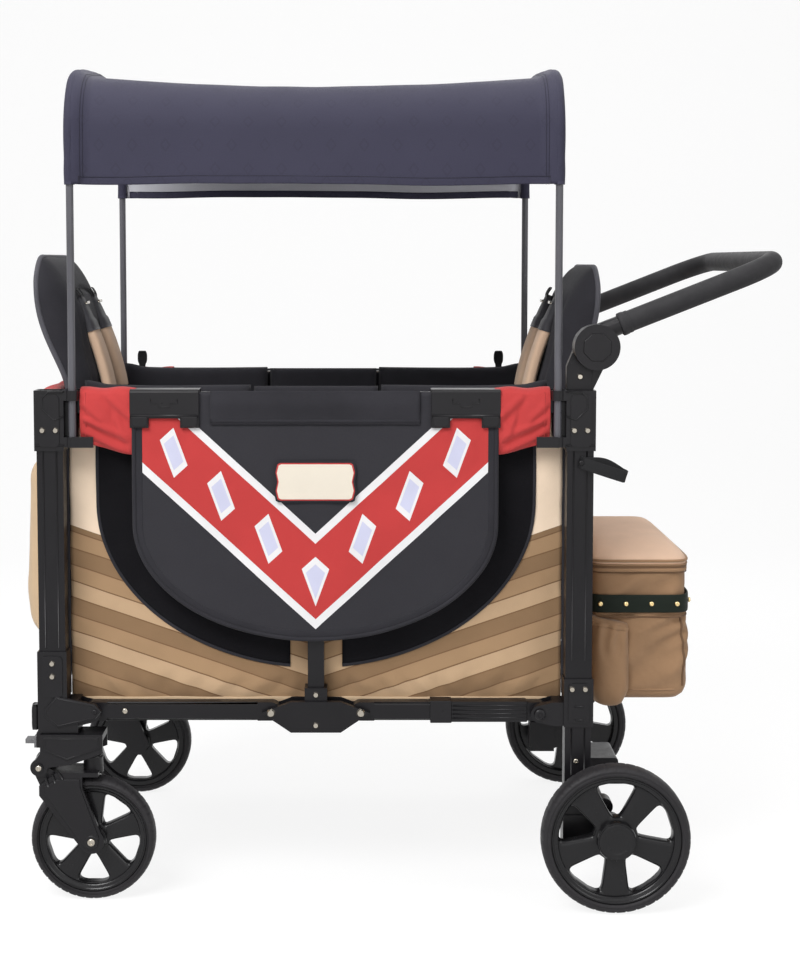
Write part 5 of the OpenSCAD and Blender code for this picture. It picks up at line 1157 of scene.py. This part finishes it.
for side, sign in SIDES.items():
    out = (0, 1, 0)
    for end, ahead in ENDS.items():
        flip = (ahead, sign)
        tag = f"{end}_{side}"
        frame_body = f"{end}_frame"
        ridge(f"bracket_rib_{tag}", BRACKET_RIB, BRACKET_FACE, 2.4, 2.2, "plastic", frame_body, flip)
        relief(f"guide_web_{tag}", GUIDE_WEB, 258.0, 17.0, 1.6, "plastic", frame_body, flip)
        ridge(f"bracket_lip_{tag}", [(396, 737), (442, 737)], 289.6, 3.0, 2.4, "plastic", frame_body, flip)
        for k, x in enumerate(POST_RIBS):
            ridge(f"post_rib_{k}_{tag}", [(x, POST_RIB_LOW[end]), (x, POST_RIB_TOP)], POST_FACE, 2.6, 1.8,
                  "paint", frame_body, flip)
        upper = f"upper_{end}"
        ridge(f"clip_mark_{tag}", CLIP_T, CLIP_FACE, 1.8, 1.6, "plastic", upper, flip)
        ridge(f"clip_lip_{tag}", [(185, 783), (293, 783)], CLIP_FACE, 5.0, 2.6, "plastic", upper, flip)
        for k, x in enumerate(CLIP_FEET):
            foot = [(x - 13, 782), (x - 13, 770), (x - 9, 765.5), (x + 9, 765.5), (x + 13, 770),
                    (x + 13, 782)]
            relief(f"clip_foot_{k}_{tag}", foot, 281.2, 2.4, 1.6, "plastic", upper, flip)
        dome(f"pivot_cap_{tag}", (359, 288.2, 304), out, 9.0, 3.0, "plastic", frame_body, flip)
    flip = (-1, sign)
    relief(f"bracket_wedge_{side}", BRACKET_WEDGE, 287.0, 5.0, 2.4, "plastic", "front_frame", flip)
    ridge(f"bracket_wedge_rib_{side}", inset(BRACKET_WEDGE, 3.4), 292.0, 2.0, 1.4, "plastic",
          "front_frame", flip, True)
    dome(f"wedge_screw_{side}", (353, 292.0, 309.5), out, 4.2, 2.0, "plastic", "front_frame", flip)
    lever = line(451.0, FRONT_Y, np.linspace(277, 318, 9))
    sweep(f"lock_lever_{side}", lever, flat_section(20.0, 11.0, 20, 4.0), (1, 0, 0), "plastic",
          "front_frame", flip=flip, scale=LEVER_SCALE)
    dome(f"rail_bolt_{side}", (307.6, 269.2, 305), out, 4.8, 2.6, "nickel", "front_rails", flip)
    caster, fork = f"caster_{side}", f"fork_{side}"
    relief(f"yoke_panel_{side}", YOKE_PANEL, 296.3, 1.8, 1.6, "plastic", caster, flip)
    ridge(f"yoke_rib_{side}", inset(YOKE_PANEL, 2.6), 298.1, 1.8, 1.4, "plastic", caster, flip, True)
    dome(f"suspension_bolt_{side}", (442, 299.4, 220), out, 5.0, 2.4, "nickel", caster, flip)
    relief(f"fork_panel_{side}", FORK_PANEL, 297.8, 2.6, 2.2, "plastic", fork, flip)
    for k, rib in enumerate(FORK_RIBS):
        ridge(f"fork_rib_{k}_{side}", rib, 299.4, 4.4, 4.0, "plastic", fork, flip)
    dome(f"axle_washer_{side}", (359, 300.2, 100), out, 10.5, 1.6, "plastic", fork, flip)
    dome(f"axle_bolt_{side}", (359, 301.4, 100), out, 6.6, 3.6, "nickel", fork, flip)
    flip = (1, sign)
    dome(f"leg_bolt_{side}", (417, POST_FACE, 228), out, 4.2, 2.4, "nickel", "rear_frame", flip)
    for k, x in enumerate(POST_RIBS):
        ridge(f"leg_rib_{k}_{side}", [(x, 206), (x, 281)], POST_FACE, 2.6, 1.8, "paint", "rear_frame", flip)
    for k, z in enumerate(SLEEVE_RIBS):
        ridge(f"sleeve_rib_{k}_{side}", [(220, z), (338, z)], 270.8, 3.0, 2.0, "plastic", "rear_rails",
              flip)
    for k, z in enumerate(BRACKET_SLOTS):
        ridge(f"bracket_slot_{k}_{side}", [(414, z), (428, z)], BRACKET_FACE, 3.0, 2.0, "plastic",
              "rear_frame", flip)

ARM_TILT = math.radians(21.5)
ARM_X, ARM_Y, ARM_Z, GRIP_OFF, FERRULE_R = 443, 289.9, 893, 19, 18.8
FERRULE_RUN = np.array([46.6, 47.2, 48.5, 52.0, 56.0, 58.0, 59.0, 63.0, 64.0])
FERRULE_SCALE = np.array([16.0, 17.6, 18.6, 18.8, 18.6, 17.7, 18.1, 18.0, 17.2]) / FERRULE_R
TAIL_X, TAIL_WIDE = {"front": 344.0, "rear": 332.0}, 18
TAIL_SCALE = np.array([12, 12, 12, 12, 13, 16, 17.5, 18, 18, 18, 17.5, 16, 13]) / TAIL_WIDE

for side, sign in SIDES.items():
    path = line(ARM_X + FERRULE_RUN * math.cos(ARM_TILT) - GRIP_OFF * math.sin(ARM_TILT), ARM_Y,
                ARM_Z + FERRULE_RUN * math.sin(ARM_TILT) + GRIP_OFF * math.cos(ARM_TILT))
    sweep(f"grip_ferrule_{side}", path, circle(FERRULE_R, 28), (0, 1, 0), "foam", "handle",
          scale=FERRULE_SCALE, flip=(1, sign))

for end, ahead in ENDS.items():
    tail = line(TAIL_X[end], 244 + 5 * np.sin(np.linspace(0, 2.4, 13)), np.linspace(822, 858, 13))
    sweep(f"strap_end_{end}", tail, flat_section(TAIL_WIDE, 8.0, 18, 4), (0, 1, 0), "webbing",
          f"upper_{end}", scale=TAIL_SCALE, flip=(ahead, 1))

# Seat cushions

CUSHION_X, CUSHION_DEEP, CUSHION_HALF, CUSHION_Z, CUSHION_DRAW = 247.6, 118, 220, 448.5, 7
BOARD_X, BOARD_HALF, BOARD_Z, BOARD_EDGE = (133.0, 362.0), 204, (427.2, 435.2), 0.002

for end, ahead in ENDS.items():
    nu, nv = 49, 41
    U, V = grid(np.linspace(-1, 1, nu), np.linspace(-1, 1, nv))
    full = np.sqrt(np.clip((1 - np.abs(U) ** 14) * (1 - np.abs(V) ** 14), 0, 1))
    x = CUSHION_X + CUSHION_DEEP * V
    y = U * (CUSHION_HALF - CUSHION_DRAW * (1 - V ** 2))
    channel = 4 * np.exp(-((V - 0.05) / 0.045) ** 2) + 3 * np.exp(-((np.abs(U) - 0.55) / 0.025) ** 2)
    top = CUSHION_Z + full * (8.5 + (5.0 - channel) * (1 - U ** 4) * (1 - V ** 4))
    low = CUSHION_Z - full * 13.0
    front, back = line(x, y, top), line(x, y, low)
    cushion = pillow(f"seat_cushion_{end}", front, back, "black", f"{end}_seat", flip=(ahead, 1),
                     uv=flat_uv(x, y))
    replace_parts(cushion, f"{end}_seat_base")
    (x0, x1), half = BOARD_X, BOARD_HALF
    board = [(x, y, z) for z in BOARD_Z for x, y in ((x0, -half), (x1, -half), (x1, half), (x0, half))]
    faces = [(3, 2, 1, 0), (4, 5, 6, 7), (0, 1, 5, 4), (1, 2, 6, 5), (2, 3, 7, 6), (3, 0, 4, 7)]
    plate = make(f"seat_board_{end}", board, faces, "board", f"{end}_seat", flip=(ahead, 1), smooth=False)
    edge = plate.modifiers.new("edge", "BEVEL")
    edge.width, edge.segments = BOARD_EDGE, 3
    up, over = np.linspace(-1, 1, 30)[:-1], np.linspace(1, -1, 40)[:-1]
    share_y = np.concatenate([np.ones(29), over, -np.ones(29), np.linspace(-1, 1, 40)[:-1]])
    share_x = np.concatenate([up, np.ones(39), np.linspace(1, -1, 30)[:-1], -np.ones(39)])
    half = CUSHION_HALF - 1 - CUSHION_DRAW * (1 - share_x ** 2)
    path = line(CUSHION_X + (CUSHION_DEEP - 1) * share_x, share_y * half, CUSHION_Z + 0.5)
    sweep(f"seat_piping_{end}", path, circle(2.6, 8), (0, 0, 1), "black", f"{end}_seat", closed=True,
          flip=(ahead, 1))

# End panels and front pocket

END_X, END_HALF, END_LOW, END_TOP = 444.5, 252, 326.6, 798
POCKET_X, POCKET_HALF, POCKET_Z, POCKET_TALL, POCKET_DEEP = 446.0, 175, 555, 150, 42

for end, ahead in ENDS.items():
    Y, Z = grid(np.linspace(-END_HALF, END_HALF, 65), np.linspace(END_LOW, END_TOP, 61))
    inward = smooth_step((END_HALF - np.abs(Y)) / 50)
    puff = ripple(Y, Z, 6.0) * inward * smooth_step((Z - 326) / 40) * smooth_step((END_TOP - Z) / 40)
    X = END_X + np.clip(puff, -1.2, 1.2)
    panel = make(f"end_panel_{end}", line(X, Y, Z), quads(65, 61), ["beige", "black"], f"{end}_frame",
                 uv=flat_uv(Y, Z), flip=(ahead, 1))
    thicken(panel, 2.2, 0.0, 1)
    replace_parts(panel, f"{end}_end_panel")
U, V = grid(np.linspace(-1, 1, 65), np.linspace(-1, 1, 57))
rise = np.sqrt(np.clip((1 - np.abs(U) ** 10) * (1 - np.abs(V) ** 8), 0, 1))
py, pz = POCKET_HALF * U, POCKET_Z + POCKET_TALL * V
wave = 1.5 * ripple(py * 1.5, pz * 1.5, 7.0) * rise
wave = wave + 2.0 * np.sin(py * 0.11) * smooth_step((pz - 650) / 50) * rise
px = POCKET_X + (POCKET_DEEP * (0.88 + 0.12 * (1 - V) / 2)) * rise + wave
pocket = pillow("front_pocket", line(px, py, pz), line(POCKET_X, py, pz), "pocket", "front_frame",
                flip=(-1, 1), uv=flat_uv(py, pz))

# Rear bag

BAG_X, BAG_AX, BAG_AY = 530.4, 84.0, 200.0
BAND_Z = 466.0
BAG_LOW, BAG_ROUND, BAG_TALL = 306.3, 26, 220
BAG_FRONT, BAG_BACK, WELT_X = 446.6, 616, 602
LID_ROWS, LID_POINTS, LID_Z, LID_CROWN, LID_SEAT = 16, 120, 537.0, 26.0, 533.5
LID_UNDER = ((0.0, 529.4), (0.5, 529.2), (0.985, 528.9), (0.998, 530.4), (1.0, LID_SEAT))
STUD_R, STUD_H = 4.2, 2.6
SIDE_POCKET_Y = 190.0


def bag_ring(n, grow=0.0, power=9.0):
    """The bag's outline seen from above, as evenly spaced points."""
    a = (np.arange(4000) + 0.5) * TAU / 4000
    x = BAG_X + rounded(np.cos(a), power) * (BAG_AX + grow)
    y = rounded(np.sin(a), power) * (BAG_AY + grow)
    return even(np.stack([np.maximum(x, BAG_FRONT), y], 1), n).T


ring_x, ring_y = bag_ring(200)
levels = np.concatenate([np.linspace(0, 1, 9)[:-1] ** 0.6 * BAG_ROUND,
                         np.linspace(BAG_ROUND, BAG_TALL, 49)])
verts, uvs = [], []
girth = np.concatenate([[0], np.cumsum(np.hypot(np.diff(ring_x), np.diff(ring_y)))])
for share in (0.0, 0.25, 0.5, 0.75):
    verts.append(line(BAG_X + (ring_x - BAG_X) * share * 0.95, ring_y * share * 0.95,
                      BAG_LOW + 2.5 * share ** 4))
    uvs.append(np.stack([ring_x * MM * share, ring_y * MM * share], 1))
for lift in levels:
    z = BAG_LOW + lift
    low = np.sqrt(max(0.0, 1 - max(0.0, 1 - lift / BAG_ROUND) ** 2))
    drawn = 10.0 * (1 - low) + 2.0 * (lift / BAG_TALL) ** 2
    bulge = 2.0 * math.sin(math.pi * min(1, lift / 150))
    nx_, ny_ = (ring_x - BAG_X) / BAG_AX, ring_y / BAG_AY
    loose = (1 - math.exp(-((z - BAND_Z) / 20) ** 2)) * math.sin(math.pi * lift / 226)
    fold_y = -np.abs(ring_y)
    sag = 3.6 * ripple(ring_x * 1.5 + fold_y * 1.7, np.full_like(ring_x, z * 1.7), 8.0)
    sag = sag + 4.2 * np.sin((ring_x * 0.8 + fold_y - z * 1.1) * 0.075 + 2.0 * np.sin(z * 0.03))
    crease = np.sin((ring_x * 0.9 + fold_y * 0.7 - z * 1.2) * 0.15 + 1.6 * np.sin(z * 0.04 + ring_x * 0.02))
    patchy = 0.5 + 0.5 * np.sin(ring_x * 0.023 + fold_y * 0.017 + z * 0.021 + 1.0)
    sag = (sag + 2.2 * patchy * crease) * loose
    out = bulge + sag - drawn
    x = np.maximum(ring_x + nx_ * (out - 0.6 * sag), BAG_FRONT)
    verts.append(line(np.minimum(x, BAG_BACK), ring_y + ny_ * out, z))
    uvs.append(np.stack([girth * MM, np.full_like(girth, z * MM)], 1))
seam_at = np.argmin(np.hypot(ring_x - WELT_X, ring_y - BAG_AY))
wall = np.array([level[seam_at] for level in verts])
wall = wall[(wall[:, 2] > 326) & (wall[:, 2] < BAND_Z - 22)]
bag = make("bag_body", np.concatenate(verts), quads(len(verts), len(ring_x), False, True),
           ["bag", "black"], "rear_frame", uv=np.concatenate(uvs), weld=True)
thicken(bag, 3.0, -1.0, 1)
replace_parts(bag, "rear_bag")


def bag_loop(name, z, section, mat, body, grow):
    x, y = bag_ring(160, grow)
    return sweep(name, line(x, y, z), section, (0, 0, 1), mat, body, closed=True)


bag_loop("bag_zip", 521.5, flat_section(2.0, 6.0, 10, 3), "bag", "rear_frame", 0.2)
bag_loop("bag_zip_teeth", 526.9, flat_section(2.6, 4.6, 10, 3), "bag_seam", "rear_frame", 0.0)
bag_loop("bag_zip_stitch", 516.8, flat_section(2.0, 1.4, 8, 3), "bag_seam", "rear_frame", 0.0)
bag_loop("bag_band_seam", BAND_Z - 22, circle(1.5, 8), "bag_seam", "rear_frame", 0.6)
bag_loop("bag_band", BAND_Z, flat_section(3.2, 30.0, 16, 6), "trim", "rear_frame", 2.2)
bag_loop("bag_low_piping", 322.0, circle(2.0, 8), "bag", "rear_frame", -1.0)

lx, ly = bag_ring(LID_POINTS)
shares = [1 - k / LID_ROWS for k in range(LID_ROWS + 1)]
rows = [*LID_UNDER, *((share, LID_Z + LID_CROWN * (1 - share ** 5)) for share in shares)]
lid_verts = np.concatenate([line(BAG_X + (lx - BAG_X) * share, ly * share, z) for share, z in rows])
lid = make("bag_lid_top", lid_verts, quads(len(rows), LID_POINTS, False, True), "lid", "bag_lid", weld=True)
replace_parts(lid, "bag_lid")
wagon((BAG_X, 0, LID_SEAT)).tolist()
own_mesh(lid)
bag_loop("lid_piping", 536.6, circle(2.4, 8), "bag", "bag_lid", 0.4)
bag_loop("lid_low_piping", 530.0, circle(1.4, 8), "bag", "bag_lid", 0.6)

studs = [((x, sign * 203.6, BAND_Z), (0, sign, 0)) for sign in (-1, 1) for x in (466, 508, 550, 592)]
studs += [((618.0, y, BAND_Z), (1, 0, 0)) for y in np.linspace(-168, 168, 8)]
for k, (at, normal) in enumerate(studs):
    dome(f"bag_stud_{k}", at, normal, STUD_R, STUD_H, "gold", "rear_frame")

for side, sign in SIDES.items():
    U, V = grid(np.linspace(-1, 1, 33), np.linspace(-1, 1, 41))
    rise = np.clip(1 - np.abs(U) ** 4, 0, 1) ** 0.6
    for toward, power in ((-V, 6), (V, 8)):
        rise = rise * np.clip(1 - np.clip(toward, 0, 1) ** power, 0, 1) ** 0.5
    x = 481 + 33 * U * (1 - 0.05 * (V > 0) * V - 0.30 * smooth_step((-V - 0.6) / 0.4))
    z = 371 + 70 * V - 6 * (1 - U ** 2) * (V < 0) * V * V - 7 * U * smooth_step(V)
    gather = 2.8 * np.sin(U * 9 + 1.2 * np.sin(V * 4)) * smooth_step((V + 0.1) / 0.8)
    full = 22.0 - 5.0 * V + gather + 1.8 * ripple(x * 3, z * 2, 9.0)
    y = SIDE_POCKET_Y + 10.5 * np.clip(rise * 4, 0, 1) + full * rise
    pocket = pillow(f"bag_pocket_{side}", line(x, y, z), line(x, SIDE_POCKET_Y - 2.0 * rise, z), "bag",
                    "rear_frame", flip=(1, sign), uv=flat_uv(x, z))
    hem = line(x[1:-1, -4], y[1:-1, -4] + 0.8, z[1:-1, -4])
    sweep(f"pocket_hem_{side}", hem, flat_section(7.0, 2.6, 10, 2.5), (0, 1, 0), "bag", "rear_frame",
          flip=(1, sign))
    sweep(f"bag_welt_{side}", wall + (0.4, 0.4, 0), circle(2.0, 8), (0, 1, 0), "bag_seam", "rear_frame",
          flip=(1, sign))

# Straps and small fittings

t = np.linspace(0, 1, 25)
turn = np.linspace(-math.pi / 2, math.pi / 2, 9)
plan = np.concatenate([np.stack([418 + 66 * t, -288.6 - 2.0 * np.sin(t * math.pi)], 1)[:-1],
                       np.stack([484 + 7.0 * np.cos(turn), -295.0 - 6.4 * np.sin(turn)], 1)[:-1],
                       np.stack([484 - 62 * t, -301.4 + 8.6 * t ** 2 - 1.5 * np.sin(t * math.pi)], 1)])
lifted = 9.0 * np.concatenate([np.sin(t[:-1] * 2.6) ** 2, np.linspace(0.26, 0, 8), 0 * t])
loop = line(plan[:, 0], plan[:, 1], 711 - 0.32 * (plan[:, 0] - 418) + lifted)
wrist = sweep("wrist_loop", loop, flat_section(2.4, 19.0, 14), (0.3, 0.02, 0.954), "webbing", "rear_frame")
dome("wrist_snap", (421, -294.6, 710), (0, -1, 0), 4.0, 1.8, "plastic", "rear_frame")
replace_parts(wrist, "wrist_strap")

t = np.linspace(-1, 1, 41)
pull = line(0.0, 66 * np.sign(t) * np.abs(t) ** 0.8, 297 + 46 * np.sqrt(np.clip(1 - np.abs(t) ** 5, 0, 1)))
strap = sweep("pull_strap", pull, flat_section(14.0, 2.4, 14), (1, 0, 0), "webbing", "centre")
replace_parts(strap, "fold_strap")

LABEL = [(-58, 652), (-54, 650), (54, 650), (58, 652), (61, 664), (58, 678), (61, 692), (58, 704),
         (54, 706), (-54, 706), (-58, 704), (-61, 692), (-58, 678), (-61, 664)]
LABEL_Y, LABEL_Z, LABEL_HALF, LABEL_RISE, LABEL_THICK = 278.2, 678, 60, 28, 0.6
LABEL_LAYERS = (("back", 5.0, 0.0, "black"), ("edge", 2.0, 0.7, "red"), ("face", 0.0, 1.3, "cream"))
for side, sign in SIDES.items():
    y = sign * LABEL_Y
    for part, grow, lift, mat in LABEL_LAYERS:
        wide, tall = 1 + grow / LABEL_HALF, 1 + grow / LABEL_RISE
        ring = np.array([(x * wide, LABEL_Z + (z - LABEL_Z) * tall) for x, z in LABEL])
        n = len(ring)
        outer = line(ring[:, 0], y + sign * (lift + LABEL_THICK), ring[:, 1])
        inner = line(ring[:, 0], y + sign * lift, ring[:, 1])
        faces = [tuple(range(n)), tuple(range(2 * n - 1, n - 1, -1))]
        faces += [(i, i + n, (i + 1) % n + n, (i + 1) % n) for i in range(n)]
        patch = make(f"label_{part}_{side}", np.concatenate([outer, inner]), faces, mat, "centre",
                     smooth=False, weld=True, slot=LABEL_SLOT)
        folds(patch, 0, FLAP_KEEP)

# Floor, backdrop and light

BACKDROP_TONE, GLOW, GLOW_SHARE = (0.86, 0.86, 0.86, 1), 1.08, 0.80
SKY_LIGHT = 0.176


def count_node(tree, operation, *values):
    made = tree.nodes.new("ShaderNodeMath")
    made.operation = operation
    for socket, value in zip(made.inputs, values):
        if isinstance(value, bpy.types.NodeSocket):
            tree.links.new(value, socket)
        else:
            socket.default_value = value
    return made.outputs[0]


def seen_rays(tree):
    """1 for what is seen straight, mirrored or through something, 0 for light on the part."""
    path = tree.nodes.new("ShaderNodeLightPath")
    seen = path.outputs["Is Camera Ray"]
    for ray in ("Is Glossy Ray", "Is Transmission Ray"):
        seen = count_node(tree, "MAXIMUM", seen, path.outputs[ray])
    return seen


FLOOR_W, FLOOR_D, WALL_R = 9.0, 4.5, 1.6
section = [(-6.0, 0.0), (FLOOR_D - WALL_R, 0.0)]
turns = np.linspace(0, math.pi / 2, 24)[1:]
section += [(FLOOR_D - WALL_R + WALL_R * math.sin(a), WALL_R - WALL_R * math.cos(a)) for a in turns]
section += [(FLOOR_D, 6.0)]
verts = [(x, y, z) for x in (-FLOOR_W, FLOOR_W) for y, z in section]
count = len(section)
mesh = bpy.data.meshes.new("backdrop")
mesh.from_pydata(verts, [], [(i, i + count, i + count + 1, i + 1) for i in range(count - 1)])
mesh.shade_smooth()
backdrop = bpy.data.objects.new("backdrop", mesh)
scene.collection.objects.link(backdrop)
pale = bpy.data.materials.new("backdrop_pale")
pale.use_nodes = True
tree = pale.node_tree
tree.nodes.clear()
out = tree.nodes.new("ShaderNodeOutputMaterial")
diffuse = tree.nodes.new("ShaderNodeBsdfDiffuse")
diffuse.inputs[0].default_value = BACKDROP_TONE
glow = tree.nodes.new("ShaderNodeEmission")
glow.inputs[0].default_value = (1, 1, 1, 1)
glow.inputs[1].default_value = GLOW
mixer = tree.nodes.new("ShaderNodeMixShader")
tree.links.new(count_node(tree, "MULTIPLY", seen_rays(tree), GLOW_SHARE), mixer.inputs[0])
tree.links.new(diffuse.outputs[0], mixer.inputs[1])
tree.links.new(glow.outputs[0], mixer.inputs[2])
tree.links.new(mixer.outputs[0], out.inputs[0])
mesh.materials.append(pale)

world = bpy.data.worlds.new("studio")
scene.world = world
world.use_nodes = True
tree = world.node_tree
sky = tree.nodes["Background"]
sky.inputs[0].default_value = (1, 1, 1, 1)
level = count_node(tree, "MULTIPLY_ADD", seen_rays(tree), 1 - SKY_LIGHT, SKY_LIGHT)
tree.links.new(level, sky.inputs[1])


def lamp(name, at, towards, size, power):
    data = bpy.data.lights.new(name, "AREA")
    data.shape = "RECTANGLE"
    data.size, data.size_y = size
    data.energy = power
    obj = bpy.data.objects.new(name, data)
    scene.collection.objects.link(obj)
    obj.location = at
    direction = np.array(towards, float) - np.array(at, float)
    yaw = math.atan2(direction[1], direction[0])
    tilt = math.atan2(math.hypot(direction[0], direction[1]), -direction[2])
    obj.rotation_euler = (tilt, 0, yaw - math.pi / 2)
    return obj


lamp("key", (-1.6, -2.4, 3.2), (0, 0, 0.6), (2.0, 1.6), 132)
lamp("fill", (2.6, -2.2, 2.2), (0, 0, 0.6), (2.0, 2.0), 29)
lamp("front", (0.1, -4.4, 1.5), (0, 0, 0.7), (3.0, 2.2), 14.5)
lamp("top", (0.0, 0.1, 3.6), (0, 0, 0.5), (2.6, 2.2), 48)
lamp("back", (0.4, 2.6, 2.4), (0, 0, 0.8), (2.4, 1.6), 17.5)
